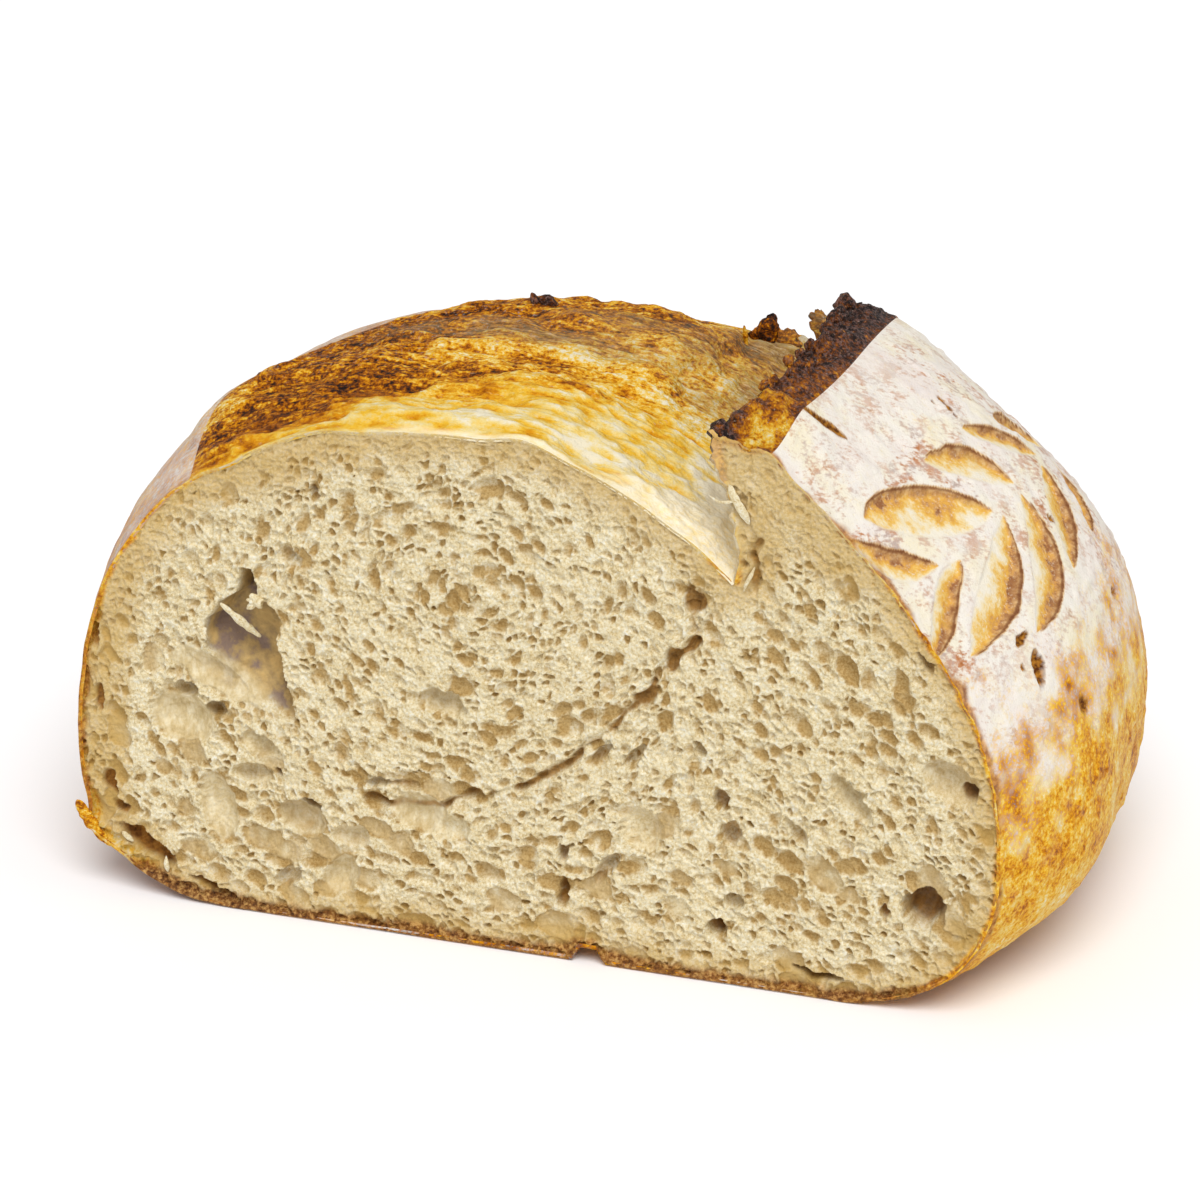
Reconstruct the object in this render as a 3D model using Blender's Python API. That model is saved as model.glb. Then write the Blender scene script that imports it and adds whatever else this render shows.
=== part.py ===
import bpy
import numpy as np

# Half of a round rustic loaf. The cut face stands at -Y, the crust runs back to a rounded end at +Y
# and the flat base rests at Z 0. Sections are drawn at a depth Y behind the cut, all in metres.
MM = 0.001

# Driving dimensions
DEPTH = 141 * MM  # from the cut face to the rounded end
BULGE_DEPTH = 46.5 * MM  # where the outline seen from above is widest
HALF_WIDTH = 97.5 * MM  # from the middle of the cut face to its crust
WIDEST_Z = 35.3 * MM  # height of the widest place
PLAIN_TOP = 112.5 * MM  # top of the section behind the scored opening
FOOT = 61.4 * MM  # half the width of the flat base
CENTRE_X = -1.5 * MM  # the section's middle, so that the whole is centred on X
FACE_Y = -DEPTH / 2

# How the section grows and closes behind the cut: gain up to the bulge, then a superellipse
RIGHT_GAIN, RIGHT_TOP_GAIN, LEFT_GAIN = 0.135, 0.09, 0.09
PLAN_POWER, TOP_POWER = 2.6, 2.25
BASE_FLAT_DEPTH = 84 * MM  # the base is flat up to here and rises behind it
BASE_POWER = 2.35
SIDE_BLEND = 37 * MM  # the left and right gains blend over this far from the middle

# The scored opening: an ear with a lip, its rough band, the wall below it and the domed bloom
OPENING_END = 112 * MM
OPENING_FADE = 78 * MM  # the ear starts to sink into the plain section here
LIP = np.array((49.8, 114.3)) * MM
BAND = np.array((-7.5, 3.8)) * MM  # from the lip across the band to its torn edge
SPUR, SPUR_DEPTH = np.array((-5.1, -2.3)) * MM, 9 * MM  # the edge curls over in a spur at the cut
WALL_BEND = np.array((46.0, 100.0)) * MM  # the wall under the torn edge bends this way
VALLEY_ANGLE = np.radians(41)
RIDGE_ANGLE = np.radians(131)
LIP_ANGLE = np.radians(60)  # where the closed opening lies on the plain section
RIDGE_RUN = (2.2, 0.7)  # powers of the curve along which the ridge meets the lip
LIP_RISE, LIP_RISE_FRONT, LIP_RISE_BACK = 4.6 * MM, 15 * MM, 80 * MM
BLOOM_RISE, BLOOM_RISE_DEPTH, BLOOM_RISE_SPAN = 4.5 * MM, 80 * MM, 45 * MM
DOME_X, DOME_TOP = -14.9 * MM, 111.9 * MM
DOME_LEFT, DOME_RIGHT = 82.6 * MM, 75.3 * MM
DOME_POWER, PLAIN_POWER = 2.1, 2.25
LOW_LEFT_POWER, LOW_RIGHT_POWER = 2.6, 2.4
SHOULDER, SHOULDER_DEPTH = 0.22, 42 * MM  # the left side squares off behind the cut
SKIN_RISE = 33.5 * MM  # how steeply the right skin leaves the widest place
SKIN_DROP = np.array((24.7, -25.1)) * MM  # and how it comes up to the lip
SKIN_SWELL = np.array((4.6, 4.8)) * MM  # the right skin is fuller well behind the cut
SKIN_SWELL_DEPTH, SKIN_SWELL_SPAN = 62 * MM, 60 * MM

# Relief of the crust
LUMP_HEIGHT, LUMP_SIZE = 1.1 * MM, 27 * MM
CRAG_HEIGHT, CRAG_SIZE = 3.2 * MM, 5.5 * MM
BUBBLE_HEIGHT, BUBBLE_SIZE = 1.5 * MM, (11 * MM, 6 * MM, 11 * MM)
SHELF_DROP, SHELF_X, SHELF_FRONT, SHELF_BACK = 2.2 * MM, 17 * MM, 42 * MM, 96 * MM
SHELF_WANDER, SHELF_WANDER_SIZE = 4 * MM, 8 * MM  # the shelf's edge sways this far from side to side
SHELF_RUN, SHELF_EDGE = 10 * MM, 2 * MM  # it sets in over this length and drops over twice this width
BUBBLE_FADE = (0.08, 0.1)  # bubbles fade over these shares of the bloom at the valley and the ridge
RIDGE_HEIGHT, RIDGE_DEPTH, RIDGE_SPAN = 2.4 * MM, 34 * MM, 34 * MM  # the skin's edge stands out on the left
PEAK_HEIGHT, PEAK_X, PEAK_DEPTH, PEAK_SPAN = 4.5 * MM, 26 * MM, 98 * MM, 9 * MM  # a torn peak at the rear
FLAKE_HEIGHT, FLAKE_DEPTH = 3.0 * MM, 5 * MM  # a flake of crust that stands out low on the left
FLAKE_PLACE, FLAKE_SPAN = 0.36, 0.16  # its shares of the way from the widest place to the base

# Divisions of each stretch of the section, anticlockwise from the widest place on the right
STRETCHES = (("right", 24), ("band", 3), ("wall", 5), ("bloom", 26), ("left", 12),
             ("left_low", 7), ("base", 8), ("right_low", 8))
FRONT_ROWS, BACK_ROWS = 28, 12

# Leaf cuts in the right skin, each as: how far below the lip and behind the cut its base lies,
# its length, the turn of its tip towards the cut, and the bulge of its rear and front edges, in mm
STEM_BELOW_LIP, STEM_HALF_WIDTH = 41.0, 0.9
UPPER_LEAVES = ((13.8, 22.8, 53, 0.9, 5.5), (35.2, 33.6, 33, 6.3, 6.0), (46.8, 22.9, 47, 6.5, 2.0),
                (65.0, 22.9, 42, 2.8, 3.4), (77.0, 19.0, 37, 5.0, 3.0))
LOWER_LEAVES = ((18.7, 18.0, 18, 3.6, 1.7), (36.6, 32.0, 27, 8.0, 1.5), (46.5, 29.8, 45, 9.0, -2.0),
                (62.7, 24.9, 49, 4.9, 3.5), (73.0, 20.4, 59, 5.0, 0.5))
LEAF_CUT_DEPTH, LEAF_OVERSHOOT, LEAF_STEPS = 2.6 * MM, 1.6 * MM, 8
LEAF_POWER, CUT_POWER = 0.8, 0.5  # how quickly a leaf widens and deepens from its ends
SLIT = (2.0, 17.2, 8.5, 108, 0.8, 0.8)  # a short slit just below the lip, in the same terms

# Holes in the cut face: middle X and Z, half width and half height, turn in degrees, depth, in mm
HOLES = ((82.1, 22.3, 4.6, 4.4, 0, 7.0), (74.6, 21.1, 0.9, 1.7, 0, 2.0),
         (40.0, 11.5, 2.4, 2.1, 0, 4.0), (88.0, 48.5, 4.2, 2.6, -35, 4.0),
         (67.0, 44.3, 5.6, 2.2, -48, 3.0), (-81.4, 10.5, 6.2, 2.2, -30, 6.0),
         (-92.0, 24.9, 1.9, 2.6, 20, 3.5), (-89.0, 79.5, 1.6, 2.5, 25, 2.5),
         (-18.0, 52.5, 5.0, 3.0, -12, 3.2), (-48.8, 22.3, 5.0, 3.6, -15, 3.6),
         (-59.5, 30.9, 4.2, 2.3, 0, 2.6), (-74.6, 43.2, 7.0, 4.2, -10, 3.0),
         (-38.0, 20.0, 4.0, 2.4, 0, 2.2), (-16.5, 25.0, 4.6, 2.8, 10, 2.2),
         (40.5, 40.0, 1.5, 2.4, 0, 2.6), (42.5, 32.5, 2.4, 2.5, 0, 2.2),
         (8.5, 13.8, 1.3, 3.0, 0, 2.6), (15.5, 46.5, 1.2, 3.2, -30, 2.0),
         (22.5, 46.5, 1.2, 3.2, -30, 2.0), (60.8, 5.2, 5.0, 0.9, 0, 3.0))
HOLE_SIDES, HOLE_ROWS = 10, 6
TUNNEL_MOUTH = ((-68.4, 59.6), (-66.0, 66.5), (-60.5, 71.6), (-59.2, 76.2), (-56.2, 70.0),
                (-53.0, 68.3), (-53.3, 57.3), (-50.4, 44.5), (-61.2, 49.6), (-67.5, 56.5))
TUNNEL_DEPTH, TUNNEL_SINK = 24 * MM, np.array((3.0, 4.0)) * MM
TUNNEL_ROWS = (0.25, 0.55, 0.85)  # shares of its depth
SEAM = ((45.7, 88.0), (36.1, 84.5), (34.1, 73.7), (27.0, 64.3), (15.6, 50.8), (7.3, 41.9), (-5.5, 34.5),
        (-22.7, 27.4))
SEAM_WIDTH, SEAM_DEPTH = 1.7 * MM, 2.2 * MM
NOTCH_X, NOTCH_HALF_WIDTH, NOTCH_HEIGHT, NOTCH_DEPTH = 13.0 * MM, 4.0 * MM, 3.0 * MM, 8 * MM
FACE_OVERSHOOT = 1 * MM  # cutters stand out of the cut face by this much

CRUST_COLOUR = (0.52, 0.27, 0.10, 1.0)
CRUMB_COLOUR = (0.71, 0.62, 0.45, 1.0)
CRUST_SLOT, CRUMB_SLOT = 0, 1


def clear_scene():
    for item in list(bpy.data.objects):
        bpy.data.objects.remove(item, do_unlink=True)


def make_material(name, colour, roughness):
    material = bpy.data.materials.new(name)
    material.use_nodes = True
    shader = material.node_tree.nodes["Principled BSDF"]
    shader.inputs["Base Color"].default_value = colour
    shader.inputs["Roughness"].default_value = roughness
    shader.inputs["Metallic"].default_value = 0.0
    return material


def smooth_step(start, end, value):
    share = np.clip((value - start) / (end - start), 0, 1)
    return share * share * (3 - 2 * share)


def hill(middle, span, value):
    """1 at the middle, falling smoothly to 0 a span away."""
    return 1 - smooth_step(0, span, np.abs(value - middle))


def signed_power(value, power):
    return np.sign(value) * np.abs(value) ** power


def lattice_value(x, y, z, seed):
    """A repeatable random value between 0 and 1 for whole numbers x, y and z."""
    mixed = (x * 374761393 + y * 668265263 + z * 1440662683 + seed * 1274126177) & 0xFFFFFFFF
    mixed = ((mixed ^ (mixed >> 13)) * 1274126177) & 0xFFFFFFFF
    return ((mixed ^ (mixed >> 16)) & 0xFFFFFF) / 0xFFFFFF


def noise(x, y, z, size, seed):
    """Smooth noise between -1 and 1 with bumps of about the given size along X, Y and Z."""
    lengths = np.broadcast_to(size, 3)
    scaled = [np.asarray(value, float) / length for value, length in zip((x, y, z), lengths)]
    low = [np.floor(value).astype(np.int64) for value in scaled]
    share = [(value - base) ** 2 * (3 - 2 * (value - base)) for value, base in zip(scaled, low)]
    total = 0.0
    for corner in range(8):
        step = (corner & 1, corner >> 1 & 1, corner >> 2)
        weight = 1.0
        for side, part in zip(step, share):
            weight = weight * (part if side else 1 - part)
        total = total + weight * lattice_value(*(base + side for base, side in zip(low, step)), seed)
    return 2 * total - 1


def closing(depth, start, power):
    """Scale of the section at a depth: 1 up to the start, then down to 0 at the rear end."""
    share = np.clip((depth - start) / (DEPTH - start), 0, 1)
    return (1 - share ** power) ** (1 / power)


def plain_curve(angle):
    return np.stack((HALF_WIDTH * signed_power(np.cos(angle), 2 / PLAIN_POWER),
                     WIDEST_Z + (PLAIN_TOP - WIDEST_Z) * np.abs(np.sin(angle)) ** (2 / PLAIN_POWER)), -1)


def dome_curve(angle, depth):
    cosine = np.cos(angle)
    power = DOME_POWER + SHOULDER * smooth_step(0, SHOULDER_DEPTH, depth) * (cosine < 0)
    reach = np.where(cosine > 0, DOME_RIGHT, DOME_LEFT)
    rise = BLOOM_RISE * hill(BLOOM_RISE_DEPTH, BLOOM_RISE_SPAN, depth) * smooth_step(-0.3, 0.3, cosine)
    top = DOME_TOP + rise
    return np.stack((DOME_X + reach * signed_power(cosine, 2 / power),
                     WIDEST_Z + (top - WIDEST_Z) * np.abs(np.sin(angle)) ** (2 / power)), -1)


def low_curve(share, side):
    """From the widest place down to the edge of the flat base."""
    angle = np.pi / 2 * share
    power = LOW_RIGHT_POWER if side > 0 else LOW_LEFT_POWER
    return np.stack((side * (FOOT + (HALF_WIDTH - FOOT) * np.cos(angle) ** (2 / power)),
                     WIDEST_Z * (1 - np.sin(angle) ** (2 / power))), -1)


def skin_curve(share):
    """The right skin of the ear, a Bezier curve from the widest place up to the lip."""
    start = np.array((HALF_WIDTH, WIDEST_Z))
    points = (start, start + (0, SKIN_RISE), LIP + SKIN_DROP, LIP)
    rest = 1 - share
    weights = (rest ** 3, 3 * rest ** 2 * share, 3 * rest * share ** 2, share ** 3)
    return sum(weight[..., None] * point for weight, point in zip(weights, points))


def ridge_angle(depth):
    opened = (1 - np.clip(depth / OPENING_END, 0, 1) ** RIDGE_RUN[0]) ** RIDGE_RUN[1]
    return LIP_ANGLE + (RIDGE_ANGLE - LIP_ANGLE) * opened


def flat_section(stretch, share, depth):
    """X and Z of a point on the section before its scale: scored ahead, plain behind the opening."""
    ridge = ridge_angle(depth)
    rise = smooth_step(0, LIP_RISE_FRONT, depth) * (1 - smooth_step(LIP_RISE_BACK, OPENING_END, depth))
    lift = np.stack((0 * share, LIP_RISE * rise + 0 * share), -1)
    lip = LIP + lift
    tip = lip + BAND + SPUR * hill(0, SPUR_DEPTH, depth)[..., None]
    valley = dome_curve(VALLEY_ANGLE + 0 * share, depth)
    if stretch == "right":
        fullness = 6.75 * share ** 2 * (1 - share) * hill(SKIN_SWELL_DEPTH, SKIN_SWELL_SPAN, depth)
        swell = SKIN_SWELL * fullness[..., None]
        scored = skin_curve(share) + swell + lift * share[..., None] ** 3
        plain = plain_curve(LIP_ANGLE * share)
    elif stretch == "band":
        scored = lip + (tip - lip) * share[..., None]
        plain = plain_curve(LIP_ANGLE + 0 * share)
    elif stretch == "wall":
        weights = ((1 - share) ** 2, 2 * (1 - share) * share, share ** 2)
        corners = (tip, WALL_BEND, valley)
        scored = sum(weight[..., None] * point for weight, point in zip(weights, corners))
        plain = plain_curve(LIP_ANGLE + 0 * share)
    elif stretch == "bloom":
        scored = dome_curve(VALLEY_ANGLE + (ridge - VALLEY_ANGLE) * share, depth)
        plain = plain_curve(LIP_ANGLE + (ridge - LIP_ANGLE) * share)
    elif stretch == "left":
        angle = ridge + (np.pi - ridge) * share
        scored, plain = dome_curve(angle, depth), plain_curve(angle)
    elif stretch == "left_low":
        scored = plain = low_curve(share, -1)
    elif stretch == "right_low":
        scored = plain = low_curve(1 - share, 1)
    else:
        scored = plain = np.stack((FOOT * (2 * share - 1), 0 * share), -1)
    opened = 1 - smooth_step(OPENING_FADE, OPENING_END, depth)
    return plain + np.asarray(opened)[..., None] * (scored - plain)


def section(stretch, share, depth):
    """The same point after the section's scale at this depth."""
    share, depth = np.broadcast_arrays(np.asarray(share, float), np.asarray(depth, float))
    flat = flat_section(stretch, share, depth)
    high = smooth_step(2 * WIDEST_Z, PLAIN_TOP, flat[..., 1])
    right = RIGHT_GAIN + (RIGHT_TOP_GAIN - RIGHT_GAIN) * high
    gain = LEFT_GAIN + (right - LEFT_GAIN) * smooth_step(-SIDE_BLEND, SIDE_BLEND, flat[..., 0])
    swollen = 1 - (1 - np.clip(depth / BULGE_DEPTH, 0, 1)) ** 2
    across = (1 + gain * swollen) * closing(depth, BULGE_DEPTH, PLAN_POWER)
    above = closing(depth, BULGE_DEPTH, TOP_POWER)
    below = closing(depth, BASE_FLAT_DEPTH, BASE_POWER)
    upright = np.where(flat[..., 1] > WIDEST_Z, above, below)
    return np.stack((flat[..., 0] * across, WIDEST_Z + (flat[..., 1] - WIDEST_Z) * upright), -1)


def relief(stretch, share, depth, x, z):
    """Height of the crust's lumps and crags at a point, fading towards the base and the rear end."""
    fade = np.sqrt(closing(depth, BULGE_DEPTH, PLAN_POWER)) * smooth_step(0, WIDEST_Z / 2, z)
    height = LUMP_HEIGHT * noise(x, depth, z, LUMP_SIZE, 1)
    if stretch == "bloom":
        middle = smooth_step(0, BUBBLE_FADE[0], share) * smooth_step(0, BUBBLE_FADE[1], 1 - share)
        height = height + middle * BUBBLE_HEIGHT * noise(x, depth, z, BUBBLE_SIZE, 2)
        edge = SHELF_X + SHELF_WANDER * noise(0 * x, depth, 0 * z, SHELF_WANDER_SIZE, 3)
        along = smooth_step(SHELF_FRONT, SHELF_FRONT + SHELF_RUN, depth)
        along = along * (1 - smooth_step(SHELF_BACK, OPENING_END, depth)) * smooth_step(0, 0.05, share)
        height = height - SHELF_DROP * smooth_step(edge - SHELF_EDGE, edge + SHELF_EDGE, x) * along
        height = height + PEAK_HEIGHT * hill(PEAK_X, PEAK_SPAN, x) * hill(PEAK_DEPTH, PEAK_SPAN, depth)
    if stretch in ("bloom", "left"):
        beside = hill(1, 0.2, share) if stretch == "bloom" else hill(0, 0.25, share)
        height = height + RIDGE_HEIGHT * beside * hill(RIDGE_DEPTH, RIDGE_SPAN, depth)
    if stretch in ("band", "wall"):
        rough = 1 - smooth_step(OPENING_FADE, OPENING_END, depth)
        near_tip = smooth_step(0, 1, share) if stretch == "band" else (1 - share) ** 2
        height = height + CRAG_HEIGHT * rough * near_tip * noise(x, depth, z, CRAG_SIZE, 4)
    if stretch == "left_low":
        height = height + FLAKE_HEIGHT * hill(FLAKE_PLACE, FLAKE_SPAN, share) * hill(0, FLAKE_DEPTH, depth)
        fade = np.sqrt(fade)
    return height * fade


def ring(depth):
    """The closed section at a depth: its points' X and Z, anticlockwise seen from the cut face."""
    rows = []
    for stretch, count in STRETCHES:
        share = np.arange(count) / count
        flat = section(stretch, share, depth)
        if stretch != "base":
            away = flat - (0, WIDEST_Z)
            away = away / np.maximum(np.linalg.norm(away, axis=1, keepdims=True), MM)
            flat = flat + away * relief(stretch, share, depth, flat[:, 0], flat[:, 1])[:, None]
        rows.append(flat)
    return np.concatenate(rows)


def depth_stations():
    """Even steps to the end of the opening, then steps of equal turn round to the rear end."""
    front = np.linspace(0, OPENING_END, FRONT_ROWS + 1)
    span = DEPTH - BULGE_DEPTH
    turn = np.arcsin(((OPENING_END - BULGE_DEPTH) / span) ** (PLAN_POWER / 2))
    turns = np.linspace(turn, np.pi / 2, BACK_ROWS + 1)[1:-1]
    return np.concatenate((front, BULGE_DEPTH + span * np.sin(turns) ** (2 / PLAN_POWER)))


def add_object(name, points, faces, materials, slots=None):
    mesh = bpy.data.meshes.new(name)
    mesh.from_pydata([tuple(point) for point in points], [], faces)
    for material in materials:
        mesh.materials.append(material)
    if slots is not None:
        mesh.polygons.foreach_set("material_index", slots)
    mesh.update()
    item = bpy.data.objects.new(name, mesh)
    bpy.context.scene.collection.objects.link(item)
    return item


def make_loaf_body(materials):
    """Rings joined by strips, the cut face as one polygon and a fan at the rear end."""
    stations = depth_stations()
    count = sum(divisions for name, divisions in STRETCHES)
    first_band = STRETCHES[0][1]
    last_bloom = sum(divisions for name, divisions in STRETCHES[:4])
    points = []
    rings = []
    for depth in stations:
        flat = ring(depth)
        columns = np.arange(count)
        if depth > OPENING_END - MM / 10:
            columns[first_band:last_bloom] = last_bloom  # the closed opening is one point
        used = np.unique(columns)
        places = {column: len(points) + place for place, column in enumerate(used)}
        points += [(flat[column, 0] + CENTRE_X, FACE_Y + depth, flat[column, 1]) for column in used]
        rings.append([places[column] for column in columns])
    rear = len(points)
    points.append((CENTRE_X, FACE_Y + DEPTH, WIDEST_Z))
    faces = [list(rings[0])]
    for ahead, behind in zip(rings, rings[1:]):
        for here in range(count):
            following = (here + 1) % count
            corners = [ahead[following], ahead[here], behind[here], behind[following]]
            face = [corner for place, corner in enumerate(corners) if corner != corners[place - 1]]
            if len(face) > 2:
                faces.append(face)
    last = rings[-1]
    faces += [[last[(here + 1) % count], last[here], rear] for here in range(count)
              if last[here] != last[(here + 1) % count]]
    slots = [CRUMB_SLOT] + [CRUST_SLOT] * (len(faces) - 1)
    return add_object("loaf", points, faces, materials, slots)


def skin_frame(below_lip, depth):
    """Point and outward direction on the right skin, a way below the lip along the section."""
    shares = np.linspace(1, 0, 80)
    line = section("right", shares, depth)
    way = np.concatenate(((0,), np.cumsum(np.linalg.norm(np.diff(line, axis=0), axis=1))))
    share = np.interp(below_lip, way, shares)

    def place(at_share, at_depth):
        flat = section("right", at_share, at_depth)
        away = (flat - (0, WIDEST_Z)) / np.linalg.norm(flat - (0, WIDEST_Z))
        flat = flat + away * relief("right", at_share, at_depth, flat[0], flat[1])
        return np.array((flat[0] + CENTRE_X, FACE_Y + at_depth, flat[1]))

    here = place(share, depth)
    up = place(min(share + 0.02, 1), depth) - place(share - 0.02, depth)
    back = place(share, depth + MM) - place(share, depth - MM)
    out = np.cross(back, up)
    return here, out / np.linalg.norm(out)


def ring_cutter(name, start, rings, end, slot, collection, materials):
    """A closed body from equal rings of points between a start point and an end point."""
    size = len(rings[0])
    points = [start] + [point for one in rings for point in one] + [end]
    faces = [[0, 1 + (side + 1) % size, 1 + side] for side in range(size)]
    for row in range(len(rings) - 1):
        base = 1 + row * size
        for side in range(size):
            following = (side + 1) % size
            faces.append([base + side, base + following, base + size + following, base + size + side])
    base, last = 1 + (len(rings) - 1) * size, len(points) - 1
    faces += [[base + side, base + (side + 1) % size, last] for side in range(size)]
    item = add_object(name, points, faces, materials, [slot] * len(faces))
    bpy.context.scene.collection.objects.unlink(item)
    collection.objects.link(item)
    item.hide_render = True
    item.display_type = "WIRE"
    mesh = item.data
    corners = np.array([vertex.co for vertex in mesh.vertices])
    volume = sum(np.dot(corners[a], np.cross(corners[b], corners[c]))
                 for face in faces for a, b, c in zip((face[0],) * (len(face) - 2), face[1:], face[2:]))
    if volume < 0:
        mesh.flip_normals()
    return item


def make_leaf_cutter(name, base, length, turn, rear_bulge, front_bulge, collection, materials):
    """A leaf-shaped wedge: deepest along its rear edge, running out at its front edge."""
    # directions are ways below the lip and behind the cut, as the base's place is
    along = np.array((np.sin(np.radians(turn)), -np.cos(np.radians(turn))))
    rear = np.array((along[1], -along[0]))
    rear = rear * np.sign(rear[1])

    def place(share, aside, height):
        spot = (np.array(base) + along * length * share + rear * aside) * MM
        here, out = skin_frame(spot[0], spot[1])
        return here + out * height

    rings = []
    for step in range(1, LEAF_STEPS):
        share = step / LEAF_STEPS
        swell = np.sin(np.pi * share) ** LEAF_POWER
        edges = (rear_bulge * swell, -front_bulge * swell)
        cut = LEAF_CUT_DEPTH * np.sin(np.pi * share) ** CUT_POWER
        rings.append([place(share, edges[1], LEAF_OVERSHOOT), place(share, edges[0], LEAF_OVERSHOOT),
                      place(share, edges[0], -cut), place(share, edges[1], 0.0)])
    return ring_cutter(name, place(0, 0, 0), rings, place(1, 0, 0), CRUST_SLOT, collection, materials)


def make_hole_cutter(name, x, z, half_width, half_height, turn, depth, collection, materials):
    """An ellipsoid whose middle lies on the cut face."""
    cosine = np.cos(np.radians(turn))
    sine = np.sin(np.radians(turn))
    around = 2 * np.pi * np.arange(HOLE_SIDES) / HOLE_SIDES
    rings = []
    for row in range(1, HOLE_ROWS):
        angle = np.pi * row / HOLE_ROWS
        wide = half_width * np.sin(angle) * np.cos(around)
        high = half_height * np.sin(angle) * np.sin(around)
        rings.append([((x + a * cosine - b * sine) * MM + CENTRE_X, FACE_Y - depth * MM * np.cos(angle),
                       (z + a * sine + b * cosine) * MM) for a, b in zip(wide, high)])
    middle = (x * MM + CENTRE_X, z * MM)
    start = (middle[0], FACE_Y - depth * MM, middle[1])
    end = (middle[0], FACE_Y + depth * MM, middle[1])
    return ring_cutter(name, start, rings, end, CRUMB_SLOT, collection, materials)


def make_tunnel_cutter(collection, materials):
    """The large hole: its mouth narrows to a point deep in the crumb."""
    mouth = np.array(TUNNEL_MOUTH) * MM
    middle = mouth.mean(axis=0)
    rings = []
    for depth in (-FACE_OVERSHOOT, *(share * TUNNEL_DEPTH for share in TUNNEL_ROWS)):
        share = max(depth, 0) / TUNNEL_DEPTH
        size = np.sqrt(1 - share ** 2)
        flat = middle + (mouth - middle) * size + TUNNEL_SINK * share
        rings.append([(point[0] + CENTRE_X, FACE_Y + depth, point[1]) for point in flat])
    start = (middle[0] + CENTRE_X, FACE_Y - 2 * FACE_OVERSHOOT, middle[1])
    deep = middle + TUNNEL_SINK
    end = (deep[0] + CENTRE_X, FACE_Y + TUNNEL_DEPTH, deep[1])
    return ring_cutter("tunnel_cutter", start, rings, end, CRUMB_SLOT, collection, materials)


def make_seam_cutter(collection, materials):
    """A narrow groove along the fold of the dough."""
    route = np.array(SEAM) * MM
    ways = np.gradient(route, axis=0)
    aside = np.stack((-ways[:, 1], ways[:, 0]), -1) / np.linalg.norm(ways, axis=1, keepdims=True)
    rings = []
    for spot, side in zip(route[1:-1], aside[1:-1]):
        left = spot + side * SEAM_WIDTH / 2
        right = spot - side * SEAM_WIDTH / 2
        rings.append([(left[0] + CENTRE_X, FACE_Y - FACE_OVERSHOOT, left[1]),
                      (right[0] + CENTRE_X, FACE_Y - FACE_OVERSHOOT, right[1]),
                      (spot[0] + CENTRE_X, FACE_Y + SEAM_DEPTH, spot[1])])
    ends = [(spot[0] + CENTRE_X, FACE_Y - FACE_OVERSHOOT / 2, spot[1]) for spot in (route[0], route[-1])]
    return ring_cutter("seam_cutter", ends[0], rings, ends[1], CRUMB_SLOT, collection, materials)


def make_notch_cutter(collection, materials):
    """A chip out of the base crust at the cut."""
    low = -MM
    rings = []
    for depth, size in ((-FACE_OVERSHOOT, 1.0), (0.5 * NOTCH_DEPTH, 0.7)):
        top = NOTCH_HEIGHT * size
        corners = ((-1, low), (1, low), (0.5, top), (-0.7, top))
        rings.append([(NOTCH_X + CENTRE_X + aside * NOTCH_HALF_WIDTH * size, FACE_Y + depth, high)
                      for aside, high in corners])
    start = (NOTCH_X + CENTRE_X, FACE_Y - 2 * FACE_OVERSHOOT, low + MM / 2)
    end = (NOTCH_X + CENTRE_X, FACE_Y + NOTCH_DEPTH, low)
    return ring_cutter("notch_cutter", start, rings, end, CRUST_SLOT, collection, materials)


def main():
    clear_scene()
    materials = (make_material("crust", CRUST_COLOUR, 0.65), make_material("crumb", CRUMB_COLOUR, 0.9))
    loaf = make_loaf_body(materials)
    cutters = bpy.data.collections.new("cutters")
    bpy.context.scene.collection.children.link(cutters)
    for number, leaf in enumerate(UPPER_LEAVES, 1):
        depth, length, turn, rear, front = leaf
        base = (STEM_BELOW_LIP - STEM_HALF_WIDTH, depth)
        make_leaf_cutter(f"upper_leaf_{number}", base, length, -turn, rear, front, cutters, materials)
    for number, leaf in enumerate(LOWER_LEAVES, 1):
        depth, length, turn, rear, front = leaf
        base = (STEM_BELOW_LIP + STEM_HALF_WIDTH, depth)
        make_leaf_cutter(f"lower_leaf_{number}", base, length, turn, rear, front, cutters, materials)
    make_leaf_cutter("skin_slit", SLIT[:2], *SLIT[2:], cutters, materials)
    for number, hole in enumerate(HOLES, 1):
        make_hole_cutter(f"hole_{number}", *hole, cutters, materials)
    make_tunnel_cutter(cutters, materials)
    make_seam_cutter(cutters, materials)
    make_notch_cutter(cutters, materials)
    cut = loaf.modifiers.new("cuts", "BOOLEAN")
    cut.operation = "DIFFERENCE"
    cut.solver = "EXACT"
    cut.operand_type = "COLLECTION"
    cut.collection = cutters


main()
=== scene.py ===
import math

import bpy
import numpy as np
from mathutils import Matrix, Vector


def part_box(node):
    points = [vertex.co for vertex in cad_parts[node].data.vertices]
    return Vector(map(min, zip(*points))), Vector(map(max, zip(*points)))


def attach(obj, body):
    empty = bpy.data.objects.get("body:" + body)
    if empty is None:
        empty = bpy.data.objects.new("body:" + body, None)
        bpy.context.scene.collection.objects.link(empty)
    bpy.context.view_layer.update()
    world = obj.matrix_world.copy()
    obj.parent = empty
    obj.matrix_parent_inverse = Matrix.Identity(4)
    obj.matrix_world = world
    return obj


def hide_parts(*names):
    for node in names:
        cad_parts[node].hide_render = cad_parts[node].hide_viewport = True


# Half of a round rustic loaf, cut side forward.
# Shapes are worked out in millimetres in the section's own frame: x to the right, depth behind the
# cut face and z up. They go into the meshes in metres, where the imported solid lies.

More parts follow.
